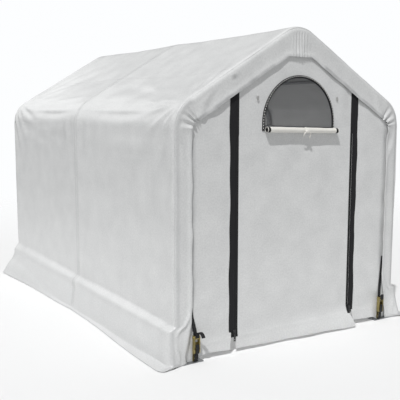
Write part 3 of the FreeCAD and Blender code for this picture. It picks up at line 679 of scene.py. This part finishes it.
def hem_folds(s, depth_share, x, z):
    """Displacement of the hem, towards the viewer: pleats, creases and the bead of the webbing."""
    reach = np.abs(s)
    pleats = (np.sin(2 * math.pi * x / 0.023 + 0.7 * np.sin(x * 31)) * hump(x, 0.004, 0.062)
              * (0.35 + 0.65 * depth_share))
    folds = 0.0060 * pleats * (reach < 0.4)
    bend = (reach - SHOULDER_S) / (WALL_S - SHOULDER_S)             # 0 to 1 round the shoulder
    gather = np.sin(2 * math.pi * (3.6 * bend + 0.25 * np.sin(5 * bend + np.sign(s))))
    folds = folds + 0.0092 * gather * depth_share ** 0.5 * hump(bend, 0.52, 0.60)
    for along, creases in ((reach - WALL_S, BELOW_SHOULDER), (reach, DOWN_SLOPE), (z, NEAR_GROUND)):
        for high, start, end, width in creases:
            folds = folds + high * crease(along, depth_share, start, end, width)
    ledge = hump(z, 1.318, 0.010) * (x > 0)                         # a sharp fold on the right
    folds = folds + 0.0060 * ledge * depth_share
    folds = folds + 0.0022 * hump(depth_share, 0.90, 0.07) + 0.0050 * smooth(depth_share, 0.55, 1.0)
    folds = folds + 0.0055 * hump(x, BOLT_X, 0.010) * hump(z, BOLT_Z, 0.011)
    folds = folds + 0.0022 * hump(x, BOLT_X + 0.012, 0.005) * (depth_share > 0.02)
    folds = folds + 0.0014 * np.sin(s * 17 + 1.1) * depth_share + 0.0009 * np.sin(s * 39) * depth_share
    return folds


def gradient_normals(points):
    """Unit normals of a grid, pointing away from the shelter."""
    first, second = np.gradient(points, axis=0), np.gradient(points, axis=1)
    normal = np.cross(first, second)
    normal /= np.maximum(np.linalg.norm(normal, axis=2, keepdims=True), 1e-9)
    outward = points - np.array([0, 0, 0.9])
    outward[..., 1] *= 0.6
    flip = np.sign((normal * outward).sum(axis=2, keepdims=True))
    return normal * np.where(flip == 0, 1, flip)


def cover_points():
    """The cover's points (rows along, stations across), its UV map in metres and its painted shade."""
    y, inset, share = [column[:, None] for column in ROWS.T]
    s, height, sign = ACROSS[None, :], OUT_Z[None, :], np.sign(OUT_X)[None, :]
    hem_run = share * (DEPTH[None, :] - TURN_R)
    inward = inset + hem_run
    front = np.broadcast_to(y, inward.shape)
    x = np.where(height < POCKET_TOP, side_outline(height, front) * sign, OUT_X[None, :])
    points = table(x + IN_X * inward, front, height + IN_Z * inward)
    low = np.clip((0.21 - height) / 0.21, 0, 1)
    corner = np.exp(-np.clip(HALF_L - np.abs(front), 0, None) / 0.05) * (1 - share) ** 0.8
    points[..., 1] += np.sign(front) * 0.050 * low ** 1.6 * corner
    points[..., 0] += sign * 0.006 * low * np.sin(5.1 * front + 0.6) * (share == 0)
    body = (share == 0) * smooth(BODY_END + 0.02 - np.abs(front), 0, 0.05)
    folds = body_folds(s + 0 * y, front) * body * (1 - smooth(-height, -0.34, -0.22))
    pocket = hump(height, RAIL_Z + 0.005, 0.045)
    star = 0.5 + 0.5 * np.sin(np.abs(front) * 62 + 30 * (height - RAIL_Z))
    folds = folds + 0.009 * pocket * star * hump(front, 0, 0.075) * (share == 0)
    ends = 0.5 + 0.5 * np.sin(70 * (front + 0.4 * height))
    folds = folds + 0.006 * pocket * ends * hump(np.abs(front), 1.30, 0.06) * (share == 0)
    skirt = ripple(s + 0 * y, front, [(0.0030, 0.6, 1.3, 0.5), (0.0020, 1.5, 3.1, 1.9)])
    folds = folds + (0.0035 + skirt) * hump(height, 0.09, 0.05) * (share == 0)
    on_hem = smooth(inward, 0.012, 0.045) + 0 * folds
    depth = np.clip(hem_run / (DEPTH - TURN_R), 0, 1)
    folds = folds + hem_folds(s + 0 * y, depth, points[..., 0], points[..., 2]) * on_hem * (share > 0)
    points = points + gradient_normals(points) * folds[..., None]
    points[..., 2] = np.maximum(points[..., 2], 0.003)
    run = np.concatenate([[0], np.cumsum(np.linalg.norm(np.diff(points[:, 60], axis=0), axis=1))])
    uv = table(s, run[:, None])
    # Painted shade, as greyer bands in the colour: the hem's webbing with blotches, the legs, the middle
    # rib and a frame bolt, where they lie behind the film.
    blotch = 0.7 + 0.3 * np.sin(s * 46 + 2) * np.sin(s * 17)
    reach = np.abs(s)
    webbing_shade = hump(depth, 0.90, 0.09) * blotch * (0.14 + 0.60 * (reach > 0.30) * (reach < 1.06))
    leg_shade = 0.34 * hump(inward, 0.020, 0.014) * (reach > SHOULDER_S)
    rib_shade = 0.28 * hump(front, 0.012, 0.007) + 0.16 * hump(front, -0.020, 0.012)
    bolt_shade = 0.75 * hump(points[..., 0], BOLT_X, 0.016) * hump(points[..., 2], BOLT_Z, 0.015)
    painted_shade = (webbing_shade + bolt_shade) * (share > 0) + leg_shade + rib_shade * (height > 0.02)
    return points, uv, painted_shade


COVER, COVER_UV, PAINTED_SHADE = cover_points()
print("cover grid", COVER.shape, "x up to", round(float(np.abs(COVER[..., 0]).max()), 3),
      "y up to", round(float(np.abs(COVER[..., 1]).max()), 3))

# %% Build the cover
def from_middle(a):
    """Which way a cover face at `a` looks: away from the middle of the shelter."""
    return a * np.array([1, 0.6, 1]) - np.array([0, 0, 0.9])


cover = grid_mesh("cover", COVER, COVER_UV, from_middle, painted_shade=PAINTED_SHADE)
finish_sheet(cover, film)
on_shelter(cover, "cover_cloth", "cover_roof_left", "cover_roof_right", "cover_wall_left",
           "cover_wall_right", "cover_skirt_left", "cover_skirt_right", "cover_hem_front",
           "cover_hem_rear")
print("cover has", len(cover.data.polygons), "faces")

# %% [markdown]
# Wide sheets of film are welded from panels. Each weld is a band where two layers lie on each other, a
# little thicker than the rest: over the middle rib from skirt to skirt, and along each slope where
# the purlin runs. The bands are cut from the cover's own grid, so they follow its folds.

# %% Welded bands on the cover
def cover_band(name, rows, columns, lift):
    """A raised strip over part of the cover's grid."""
    part = COVER[rows][:, columns]
    lifted = part + gradient_normals(COVER)[rows][:, columns] * lift
    band = grid_mesh(name, lifted, COVER_UV[rows][:, columns], from_middle,
                     painted_shade=PAINTED_SHADE[rows][:, columns])
    finish_sheet(band, film, lift)
    return on_shelter(band, "cover_cloth")


WELD_HALF, SLOPE_WELD_AT = 0.025, 0.566         # metres; the slope weld is measured from the ridge
rib_rows = np.where(np.abs(ROWS[:, 0] - 0.004) < 0.0165)[0]
cover_band("weld_over_rib", rib_rows, np.where(OUT_Z > 0.02)[0], 0.0011)
body_rows = np.where((ROWS[:, 1] == 0) & (np.abs(ROWS[:, 0]) < BODY_END - 0.01))[0]
for side, sign in (("left", -1), ("right", 1)):
    cover_band(f"weld_slope_{side}", body_rows,
               np.where(np.abs(ACROSS - sign * SLOPE_WELD_AT) < WELD_HALF)[0], 0.0005)
print("welds over rows", len(rib_rows))

# %% [markdown]
# The end cloths stand nine millimetres behind the hem's face. The door end has three of them: two fixed
# side parts, the gable part with the window, and below it the door. They share one gentle unevenness,
# so that the parts line up, and it dies away at the zippers, which run straight.

# %% The door end's unevenness and outlines
ZIP_X = 0.480
ZIP_LOW, ZIP_HIGH = 0.095, 1.570
FRONT_WAVES = [(0.0020, 0.5, 0.6, 0.3), (0.0014, 1.3, 0.9, 1.7), (0.0009, 0.6, 2.3, 2.6),
               (0.0006, 2.9, -1.4, 0.8), (0.0004, -3.1, 4.7, 1.9)]


def front_wave(x, z):
    """Outward displacement of the door end's cloth, in metres."""
    calm = smooth(np.abs(np.abs(x) - ZIP_X), 0.040, 0.110)
    pucker = 0.0008 * np.sin(z * 92 + 3 * x) * hump(np.abs(x), ZIP_X, 0.10)
    seam = 0.0028 * hump(z, 0.100, 0.005) - 0.0020 * hump(z, 0.111, 0.005)
    return (0.0014 + ripple(x, z, FRONT_WAVES) + pucker) * calm + seam


def roof_line(x, below):
    """Height of the roof outline at x, a distance below the cloth's outer face."""
    radius = BEND - below
    x = np.abs(x)
    slope = PEAK_Z + radius / math.cos(PITCH) - x * math.tan(PITCH)
    peak = PEAK_Z + np.sqrt(np.maximum(radius ** 2 - x ** 2, 0))
    shoulder = SHOULDER_Z + np.sqrt(np.maximum(radius ** 2 - (x - SHOULDER_X) ** 2, 0))
    height = np.where(x < radius * math.sin(PITCH), peak, slope)
    return np.where(x > SHOULDER_X + radius * math.sin(PITCH), shoulder, height)


UNDER_ROOF = 0.006                              # end cloths stop this far inside the cover's face
END_T = 0.0012                                  # thickness of the end cloths
DOORWARD = (0, -1, 0)
print("gable height at the middle", round(float(roof_line(0, UNDER_ROOF)), 3))

# %% Fixed side parts beside the door
SIDE_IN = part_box("front_panel_right")[0].x
SIDE_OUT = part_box("front_panel_right")[1].x


def side_cloth(side, sign):
    share = np.linspace(0, 1, 30)
    rise = np.concatenate([np.linspace(0, 0.12, 16)[:-1], np.linspace(0.12, 1, 90)])
    edge = SIDE_IN - 0.004 + 0.016 * smooth(-rise, -0.055, 0)
    x = edge[:, None] + (SIDE_OUT - edge[:, None]) * share[None, :]
    low = 0.032 - 0.024 * smooth(x, 0.69, 0.76) + 0.003 * np.sin(23 * x + sign)
    high = roof_line(x, UNDER_ROOF)
    z = low + (high - low) * rise[:, None]
    flare = smooth(-z, -0.16, 0) ** 1.3 * (0.014 + 0.006 * np.sin(19 * x + 2 * sign))
    flare = flare * (1 - smooth(x, 0.70, 0.74))
    y = PANEL_Y - np.clip(front_wave(sign * x, z), -0.001, 0.0055) - flare
    points = table(sign * x, y, z)
    height = smooth(z, 0.30, 0.45) * (1 - smooth(z, 1.25, 1.4))
    shaded = hump(x, HALF_W - HEM_SIDE - 0.010, 0.015) * height     # painted shade beside the hem's inner edge, where the hem stands off the cloth
    cloth = grid_mesh(f"front_side_cloth_{side}", points, table(x, z), DOORWARD,
                      painted_shade=0.50 * shaded * (0.85 + 0.15 * np.sin(31 * z)))
    finish_sheet(cloth, film, END_T)
    on_shelter(cloth, "cover_cloth", f"front_panel_{side}")


for side, sign in (("left", -1), ("right", 1)):
    side_cloth(side, sign)
print("side cloths reach from", round(SIDE_IN, 3), "to", round(SIDE_OUT, 3))

# %% [markdown]
# The gable part has a half-moon hole. Its grid runs round the hole in rings: the inner ring is the
# window's outline, the outer ring is the cloth's own edge, and the corners of one face the corners
# of the other. So the hole has a true outline and no ragged squares.

# %% Window outline and the gable cloth
WINDOW_X, WINDOW_LOW, WINDOW_R, WINDOW_SPRING = 0.008, 1.350, 0.278, 1.384


def window_outline(margin, bottom=40, rising=8, arc=84):
    """Closed half-moon outline, anticlockwise from the lower left corner, grown by a margin."""
    r, low = WINDOW_R + margin, WINDOW_LOW - margin
    base = [(x, low) for x in np.linspace(-r, r, bottom, endpoint=False)]
    up = [(r, z) for z in np.linspace(low, WINDOW_SPRING, rising, endpoint=False)]
    over = [(r * math.cos(a), WINDOW_SPRING + r * math.sin(a))
            for a in np.linspace(0, math.pi, arc, endpoint=False)]
    down = [(-r, z) for z in np.linspace(WINDOW_SPRING, low, rising, endpoint=False)]
    return np.array(base + up + over + down) + np.array([WINDOW_X, 0])


GABLE_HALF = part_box("gable_panel")[1].x
GABLE_LOW = FOLD_Z + 0.014


def gable_outline(bottom=40, side=20, top=60):
    """Closed outer edge of the gable cloth, matched point for point to the window outline."""
    corner = float(roof_line(GABLE_HALF, UNDER_ROOF))
    base = [(x, GABLE_LOW) for x in np.linspace(-GABLE_HALF, GABLE_HALF, bottom, endpoint=False)]
    up = [(GABLE_HALF, z) for z in np.linspace(GABLE_LOW, corner, side, endpoint=False)]
    over = [(x, float(roof_line(x, UNDER_ROOF)))
            for x in np.linspace(GABLE_HALF, -GABLE_HALF, top, endpoint=False)]
    down = [(-GABLE_HALF, z) for z in np.linspace(corner, GABLE_LOW, side, endpoint=False)]
    return np.array(base + up + over + down)


inner, outer = window_outline(0), gable_outline()
spread = np.linspace(0, 1, 16)[None, :, None]
rings = inner[:, None] * (1 - spread) + outer[:, None] * spread
gable_y = PANEL_Y - np.clip(front_wave(rings[..., 0], rings[..., 1]), -0.001, 0.0055)
gable = grid_mesh("gable_cloth", table(rings[..., 0], gable_y, rings[..., 1]), rings, DOORWARD,
                  closed=True)
finish_sheet(gable, film, END_T)
on_shelter(gable, "cover_cloth", "gable_panel")
print("gable cloth:", len(inner), "spokes and", rings.shape[1], "rings")

# %% [markdown]
# The door is the same film, hemmed at its lower edge and edged with the zippers' black tape. It rolls
# up on eight hinge lines. A flat strip on each body would crack open at every hinge, so each piece of
# cloth runs from the middle of one strip to the middle of the next, over the hinge between them. The
# pieces stay where they are built and none is tied to a strip.

# %% Door cloth
STRIPS = [f"door_panel_{n}" for n in range(1, 9)]
TOPS = [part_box(name)[1].z for name in STRIPS]
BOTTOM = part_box(STRIPS[-1])[0].z
MIDDLES = [(high + low) / 2 for high, low in zip(TOPS, TOPS[1:] + [BOTTOM])]
TAPE_IN = 0.4525                                # inner edge of the tape on the door
DOOR_ACROSS = np.concatenate([np.linspace(-DOOR_HALF - 0.0012, -TAPE_IN, 3),
                              np.linspace(-TAPE_IN, TAPE_IN, 47)[1:-1],
                              np.linspace(TAPE_IN, DOOR_HALF + 0.0012, 3)])


def door_points(high, low):
    rows = max(8, int((high - low) / 0.009))
    z = np.linspace(high, low, rows)[:, None] + 0 * DOOR_ACROSS[None, :]
    under = smooth(-z, -0.105, 0)
    x = DOOR_ACROSS[None, :] * (1 + 0.05 * under * smooth(DOOR_ACROSS, 0, 0.47)[None, :])
    lift = 0.006 * np.sin(2.4 * x + 2.2) + 0.003 * np.sin(11 * x)
    z = z + lift * smooth(-z, -0.12, 0)
    flare = smooth(-z, -0.17, 0.0) ** 1.2
    flare = flare * (0.014 + 0.046 * smooth(x, -0.35, 0.47) + 0.004 * np.sin(17 * x))
    y = PANEL_Y - np.clip(front_wave(x, z), -0.001, 0.0055) - flare
    return table(x, y, z), table(x, z)


def door_cloth(number):
    """The piece of door over hinge `number`, from the strip above to the strip below."""
    high = GABLE_LOW if number == 1 else MIDDLES[number - 2]
    low = BOTTOM - 0.006 if number == 8 else MIDDLES[number - 1]
    points, uv = door_points(high, low)
    cloth = grid_mesh(f"door_cloth_{number}", points, uv, DOORWARD)
    finish_sheet(cloth, film, END_T, edge=tape,
                 on_edge=lambda centre: abs(centre.x) > TAPE_IN and centre.z > ZIP_LOW)
    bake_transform(cloth)
    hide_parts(STRIPS[number - 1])
    return cloth


for number in range(1, 9):
    door_cloth(number)
print("door hinges at", [round(z, 3) for z in TOPS])

# %% [markdown]
# The rear end is one plain cloth with no door. It carries a weld across its middle and a turned-up
# hem near the ground.

# %% Rear cloth
REAR_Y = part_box("rear_panel")[1].y
rear_x = np.linspace(-SIDE_OUT, SIDE_OUT, 90)[None, :] + np.zeros((120, 1))
rear_share = np.concatenate([np.linspace(0, 0.12, 21)[:-1], np.linspace(0.12, 1, 100)])[:, None]
rear_low = 0.020 + 0.004 * np.sin(9 * rear_x)
rear_z = rear_low + (roof_line(rear_x, UNDER_ROOF) - rear_low) * rear_share
rear_out = ripple(rear_x, rear_z, [(0.0021, 0.5, 0.7, 0.9), (0.0014, 1.4, 0.5, 2.1),
                                   (0.0009, 0.9, 2.4, 0.2), (0.0005, 3.0, 1.6, 1.4)])
rear_out = (rear_out + 0.0016 * hump(rear_z, 0.100, 0.006) + 0.0012 * hump(rear_z, 1.02, 0.014)
            + 0.018 * smooth(-rear_z, -0.15, 0) ** 1.4)
rear = grid_mesh("rear_cloth", table(rear_x, REAR_Y + np.clip(rear_out, -0.001, 0.02), rear_z),
                 table(rear_x, rear_z), (0, 1, 0))
finish_sheet(rear, film, END_T)
on_shelter(rear, "cover_cloth", "rear_panel")
print("rear cloth", rear.dimensions[:])

# %% [markdown]
# Each zipper is a black tape sewn beside the door opening with a coil along its edge. The coil is a
# ribbon whose rows rise and fall, one pair of rows for each turn of the coil. The sliders and pulls
# are CAD pieces that travel up the coil.

# %% Zippers
TAPE_OUT = 0.518
COIL_HALF, COIL_PITCH = 0.0068, 0.0040
TAPE_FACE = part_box("zipper_tapes")[0].y


def zipper(side, sign):
    z = np.linspace(ZIP_LOW, ZIP_HIGH, 260)[:, None]
    wobble = 0.0026 * np.sin(6.1 * z + sign) + 0.0022 * np.sin(21 * z + 2 * sign) - 0.002
    inner = ZIP_X - 0.0075 - 0.020 * (z > GABLE_LOW)
    outer = TAPE_OUT + wobble
    x = inner + (outer - inner) * np.linspace(0, 1, 7)[None, :]
    crown = 0.0005 * np.sin(z * 70 + 2) * hump(x, TAPE_OUT, 0.02)
    strip = grid_mesh(f"zipper_tape_{side}", table(sign * x, TAPE_FACE + 0.0019 - crown, z),
                      table(x, z), DOORWARD)
    finish_sheet(strip, tape, 0.0012)
    z = np.arange(ZIP_LOW, ZIP_HIGH - 0.02, COIL_PITCH / 2)[:, None]
    x = ZIP_X + COIL_HALF * np.array([-1, -0.8, -0.25, 0.25, 0.8, 1])[None, :]
    rise = np.array([0.0, 0.8, 1.0, 1.0, 0.8, 0.0])[None, :]
    turn = 0.62 + 0.38 * (np.arange(len(z)) % 2)[:, None]
    y = TAPE_FACE + 0.0018 - 0.0016 * rise * turn
    coil = grid_mesh(f"zipper_coil_{side}", table(sign * x, y, z), table(x, z), DOORWARD)
    finish_sheet(coil, tape, 0.0008)
    for piece in (strip, coil):
        on_shelter(piece, "black_tape")
    return strip


for side, sign in (("left", -1), ("right", 1)):
    strip = zipper(side, sign)
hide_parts("zipper_tapes")
print("zippers from", ZIP_LOW, "to", ZIP_HIGH)

# %% [markdown]
# The window is a half-moon of insect screen behind the hole, held by a black binding with white
# stitches. Its cover is a film flap with a black edge. It is rolled down and tied, so it shows as a
# roll with a dark spiral at each end.

# %% Binding
TAPE_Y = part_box("window_binding")[0].y          # front face of the binding
MARGINS = np.array([-0.0045, -0.0037, 0.004, 0.0112, 0.0120])        # the band's cross-section
DEPTHS = TAPE_Y + np.array([0.0012, -0.0040, -0.0048, -0.0040, 0.0012])
outlines = np.stack([window_outline(margin) for margin in MARGINS], axis=1)
band_run = np.concatenate([[0], np.cumsum(np.hypot(*np.diff(outlines[:, 0], axis=0).T))])
binding = grid_mesh("window_binding_tape", table(outlines[..., 0], DEPTHS[None, :], outlines[..., 1]),
                    table(band_run[:, None], MARGINS[None, :]), DOORWARD, closed=True)
finish_sheet(binding, tape, 0.0006)
on_shelter(binding, "black_tape", "window_binding")
print("binding of", len(outlines), "rows")

# %% Insect screen
edge = window_outline(0.008)
centre = np.array([0.0, 1.47])
levels = np.linspace(0, 1, 12)[None, :, None]
disc = edge[:, None] * (1 - levels) + centre * levels
belly = 0.004 * np.sin(9 * disc[..., 0] + 1) * np.sin(8 * disc[..., 1]) * levels[..., 0]
mesh_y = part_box("window_mesh")[0].y + 0.0008 + np.abs(belly)
window_screen = grid_mesh("window_screen", table(disc[..., 0], mesh_y, disc[..., 1]), disc, DOORWARD,
                          closed=True)
select_only(window_screen)
bpy.ops.object.mode_set(mode="EDIT")
bpy.ops.mesh.select_all(action="SELECT")
bpy.ops.mesh.remove_doubles(threshold=0.0002)
bpy.ops.object.mode_set(mode="OBJECT")
window_screen.data.materials.append(screen)
bpy.ops.object.shade_smooth()
on_shelter(window_screen, "insect_mesh", "window_mesh")
print("the screen is in place")

# %% White stitches along the binding
def stitches(name, path, length, gap, size, y, material):
    """Short raised threads along a path of the X-Z plane, as one mesh of small boxes."""
    runs = np.hypot(*np.diff(path, axis=0).T)
    run = np.concatenate([[0], np.cumsum(runs)])
    vertices, faces = [], []
    for start in np.arange(gap, run[-1] - length, length + gap):
        ends = [np.array([np.interp(s, run, path[:, 0]), np.interp(s, run, path[:, 1])])
                for s in (start, start + length)]
        way = (ends[1] - ends[0]) / np.linalg.norm(ends[1] - ends[0])
        aside = np.array([-way[1], way[0]]) * size / 2
        first = len(vertices)
        for depth in (y, y - size * 0.7):
            for end, sign in ((ends[0], 1), (ends[1], 1), (ends[1], -1), (ends[0], -1)):
                x, z = end + sign * aside
                vertices.append((x, depth, z))
        box = [(0, 1, 2, 3), (7, 6, 5, 4), (0, 4, 5, 1), (1, 5, 6, 2), (2, 6, 7, 3), (3, 7, 4, 0)]
        faces += [tuple(first + i for i in face) for face in box]
    mesh = bpy.data.meshes.new(name)
    mesh.from_pydata(vertices, [], faces)
    piece = bpy.data.objects.new(name, mesh)
    bpy.context.scene.collection.objects.link(piece)
    select_only(piece)
    bpy.ops.object.mode_set(mode="EDIT")
    bpy.ops.mesh.select_all(action="SELECT")
    bpy.ops.mesh.normals_make_consistent(inside=False)
    bpy.ops.object.mode_set(mode="OBJECT")
    piece.data.materials.append(material)
    return on_shelter(piece, "cover_cloth")


thread = metal_material("white_thread", (0.60, 0.60, 0.58), (0.80, 0.80, 0.78), 0.0, 500)
sewn = window_outline(0.0060)
stitch_run = stitches("window_stitches", np.vstack([sewn, sewn[:1]]), 0.0085, 0.0080, 0.0032,
                      TAPE_Y - 0.0040, thread)
print(len(stitch_run.data.polygons) // 6, "stitches")

# %% Rolled window cover
ROLL_LOW, ROLL_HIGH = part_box("window_flap")
ROLL_HALF = ROLL_HIGH.x
ROLL_R = (ROLL_HIGH.z - ROLL_LOW.z) / 2
ROLL_Y, ROLL_Z = ROLL_LOW.y + ROLL_R, (ROLL_HIGH.z + ROLL_LOW.z) / 2
ROLL_TURNS, ROLL_CORE = 4.2, 0.0042
BLACK_EDGE = 0.022                              # black edge tape near each end of the roll
ROLL_X = WINDOW_X + 0.018

wind = np.linspace(0, 1, 190)[:, None]
angle = 2 * math.pi * ROLL_TURNS * wind + math.pi / 2
radius = ROLL_CORE + (ROLL_R - 0.0008 - ROLL_CORE) * wind
edge_rows = ROLL_HALF - np.array([0, 0.0045, BLACK_EDGE])
roll_x = np.concatenate([-edge_rows, np.linspace(-edge_rows[-1], edge_rows[-1], 34)[1:-1],
                         edge_rows[::-1]])[None, :]
waist = 1 - 0.10 * hump(roll_x, 0.015, 0.016) + 0.03 * np.sin(23 * roll_x) + 0.02 * np.sin(61 * roll_x)
droop = -0.008 * roll_x / ROLL_HALF             # the roll hangs a little lower on the right
telescope = 0.006 * (1 - wind) * np.sign(roll_x) * (np.abs(roll_x) > ROLL_HALF - BLACK_EDGE - 0.001)
roll_points = table(roll_x + ROLL_X - telescope, ROLL_Y - radius * waist * np.cos(angle),
                    ROLL_Z + droop + radius * waist * np.sin(angle))
lead = np.linspace(0, 1, 8)[1:, None]           # the last turn leaves the roll for the window's sill
leave = roll_points[-1][None]
sill = table(roll_x + ROLL_X, PANEL_Y - 0.0022, ROLL_Z - 0.002)
roll_points = np.concatenate([roll_points, leave + (sill - leave) * lead[..., None]])
unrolled = np.concatenate([[0], np.cumsum(np.linalg.norm(np.diff(roll_points[:, 20], axis=0), axis=1))])
roll = grid_mesh("window_cover_roll", roll_points, table(roll_x, unrolled[:, None]),
                 lambda a: a - np.array([0, ROLL_Y, ROLL_Z]))
finish_sheet(roll, cream, 0.0009, edge=tape, on_edge=lambda centre:
             0.004 < ROLL_HALF - abs(centre.x - ROLL_X) < BLACK_EDGE + 0.001)
on_shelter(roll, "cover_cloth", "window_flap")
print(f"rolled cover: {unrolled[-1]:.2f} m of film in {ROLL_TURNS} turns")

# %% [markdown]
# Small ties keep things rolled. A white tape with a knot and two tails holds the window cover, and a
# toggle on a loop at each side above the door holds the door when it is rolled up.

# %% Tube along points, and the tie
def tube(name, path, radius, material):
    """A round cord or tie along points."""
    curve = bpy.data.curves.new(name, "CURVE")
    curve.dimensions = "3D"
    curve.bevel_depth = radius
    curve.bevel_resolution = 2
    curve.use_fill_caps = True
    spline = curve.splines.new("NURBS")
    spline.points.add(len(path) - 1)
    for point, place in zip(spline.points, path):
        point.co = (*place, 1)
    spline.order_u = 3
    spline.use_endpoint_u = True
    spline.resolution_u = 6
    piece = bpy.data.objects.new(name, curve)
    bpy.context.scene.collection.objects.link(piece)
    select_only(piece)
    bpy.ops.object.convert(target="MESH")
    piece = bpy.context.object
    piece.data.materials.append(material)
    bpy.ops.object.shade_smooth()
    return on_shelter(piece, "cover_cloth")


def ball(name, place, size, material, rings=10):
    """A knot or bead: a sphere shaped by its three sizes, roughened so that it isn't perfect."""
    bpy.ops.object.select_all(action="DESELECT")
    bpy.ops.mesh.primitive_uv_sphere_add(segments=2 * rings, ring_count=rings, radius=1)
    piece = bpy.context.object
    piece.name = name
    for vertex in piece.data.vertices:
        x, y, z = vertex.co
        swell = 1 + 0.16 * math.sin(5 * z + 3 * x) * math.cos(4 * x - 2 * y)
        vertex.co = [p + s * swell * c for p, s, c in zip(place, size, (x, y, z))]
    piece.data.materials.append(material)
    bpy.ops.object.shade_smooth()
    return on_shelter(piece, "cover_cloth")


TIE_X = 0.045
band_r = ROLL_R * 0.94
loop = [(TIE_X, ROLL_Y - band_r * math.cos(a), ROLL_Z + band_r * math.sin(a))
        for a in np.linspace(-2.4, 2.3, 17)]
tube("window_tie_band", loop, 0.0026, cream)
front_y = ROLL_Y - ROLL_R
ball("window_tie_knot", (TIE_X, front_y + 0.001, ROLL_Z - 0.006), (0.0190, 0.0080, 0.0110), cream)
for name, reach in (("left", -1), ("right", 1)):
    tail = [(TIE_X, front_y, ROLL_Z - 0.005), (TIE_X + reach * 0.020, front_y - 0.004, ROLL_Z - 0.010),
            (TIE_X + reach * 0.027, front_y + 0.001, ROLL_Z - 0.026),
            (TIE_X + reach * 0.024, front_y + 0.008, ROLL_Z - 0.042 - 0.006 * reach)]
    tube(f"window_tie_tail_{name}", tail, 0.0034, cream)
print("the window cover is tied at", TIE_X)

# %% Door toggles and their loops
TOGGLE_X, TOGGLE_Z = 0.320, 1.530
for side, sign in (("left", -1), ("right", 1)):
    x, y = sign * TOGGLE_X, PANEL_Y - 0.0065
    hang = [(x + aside, y + out, TOGGLE_Z + up) for aside, out, up in
            ((-0.003, 0.002, 0.016), (-0.007, -0.001, 0.006), (-0.006, -0.001, -0.006),
             (0, -0.001, -0.012), (0.006, -0.001, -0.006), (0.007, -0.001, 0.006),
             (0.003, 0.002, 0.016))]
    tube(f"door_tie_loop_{side}", hang, 0.0014, plastic)
    bar = [(x, y, TOGGLE_Z + 0.012), (x, y - 0.0015, TOGGLE_Z), (x, y, TOGGLE_Z - 0.012)]
    tube(f"door_toggle_{side}", bar, 0.0024, plastic)
    ball(f"door_toggle_patch_{side}", (x, PANEL_Y - 0.0045, TOGGLE_Z + 0.018),
         (0.010, 0.0012, 0.007), film)
print("ties and toggles are in place")

# %% [markdown]
# At each corner a black webbing strap comes out from behind the hem, runs down to the ratchet's spool,
# and its tail curls over the front. A second short loop of webbing goes round the foot plate's lug
# below. Webbing is a flat ribbon with a rounded weave, so each strap is a strip swept along its side
# view.

# %% Webbing at the ratchets
WEB_HALF, WEB_T = 0.0125, 0.0018
SPOOL = {corner: [(a + b) / 2 for a, b in zip(*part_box(f"ratchet_spool_{corner}"))]
         for corner in ("front_left", "front_right", "rear_left", "rear_right")}
COIL_R = 0.0113                                 # the webbing wound on a spool
HANDLE_FACE = 1.4275                            # outer face of a handle at rest, from the middle


def rounded(points, rounds=3):
    """Cuts the corners of a polyline a few times, so that it becomes a smooth path."""
    path = np.array(points, float)
    for _ in range(rounds):
        cut = [path[0]]
        for a, b in zip(path, path[1:]):
            cut += [a * 0.75 + b * 0.25, a * 0.25 + b * 0.75]
        path = np.array(cut + [path[-1]])
    return path


def strap(name, path, end, rider="shelter"):
    """Webbing along a path of (x, y, z) middles; its width lies along X, and end is -1 at the front."""
    path = rounded(path)
    run = np.concatenate([[0], np.cumsum(np.linalg.norm(np.diff(path, axis=0), axis=1))])
    across = np.array([-1, -0.6, 0, 0.6, 1])
    ridge = 0.0003 * np.sin(run * 2 * math.pi / 0.004)[:, None]
    way = np.gradient(path, axis=0)
    way /= np.linalg.norm(way, axis=1, keepdims=True)
    normal = np.stack([0 * way[:, 0], -way[:, 2], way[:, 1]], axis=1)
    points = path[:, None] + np.array([1, 0, 0]) * (across * WEB_HALF)[None, :, None]
    points = points + normal[:, None] * ridge[..., None]
    piece = grid_mesh(name, points, table(across[None, :] * WEB_HALF, run[:, None]), (0, end, 0))
    finish_sheet(piece, webbing, WEB_T, soft_angle=45, offset=0)
    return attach(piece, rider)


for corner, (x, y, z) in SPOOL.items():
    end = -1 if y < 0 else 1
    side = -1 if x < 0 else 1
    reach = COIL_R + WEB_T / 2
    gap_y = end * (-PANEL_Y + 0.0040)
    back, front = y - end * reach, y + end * reach
    rise = 0.10 if side > 0 else 0.0
    down = [(x + side * 0.030, gap_y, z + 0.200 + rise), (x + side * 0.024, gap_y, z + 0.140 + rise),
            (x + side * 0.010, gap_y, z + 0.085), (x, back, z + 0.030), (x, back, z)]
    first = strap(f"tension_strap_{corner}", down, end)
    tail = [(x, front, z), (x, front + end * 0.001, z + 0.022),
            (x - side * 0.004, front + end * 0.006, z + 0.036),
            (x - side * 0.012, front + end * 0.016, z + 0.038),
            (x - side * 0.020, front + end * 0.024, z + 0.024),
            (x - side * 0.026, front + end * 0.027, z + 0.004)]
    strap(f"strap_tail_{corner}", tail, end)
    if corner == "front_left":
        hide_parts("tension_straps")
    face_y = end * HANDLE_FACE                  # webbing laid over the handle, which carries it
    over = [(x, face_y - end * 0.001, 0.112), (x, face_y + end * 0.002, 0.104),
            (x - side * 0.002, face_y + end * 0.002, 0.085), (x, face_y + end * 0.001, 0.066),
            (x, face_y - end * 0.002, 0.056)]
    strap(f"handle_webbing_{corner}", over, end, rider=f"ratchet_handle_{corner}")
    lug = [(x, end * 1.4068, 0.080), (x, end * 1.4150, 0.058), (x, end * 1.4165, 0.030),
           (x, end * 1.4120, 0.009), (x, end * 1.4040, 0.0060), (x, end * 1.3960, 0.012)]
    strap(f"lug_loop_{corner}", lug, end)
print("straps at", list(SPOOL))
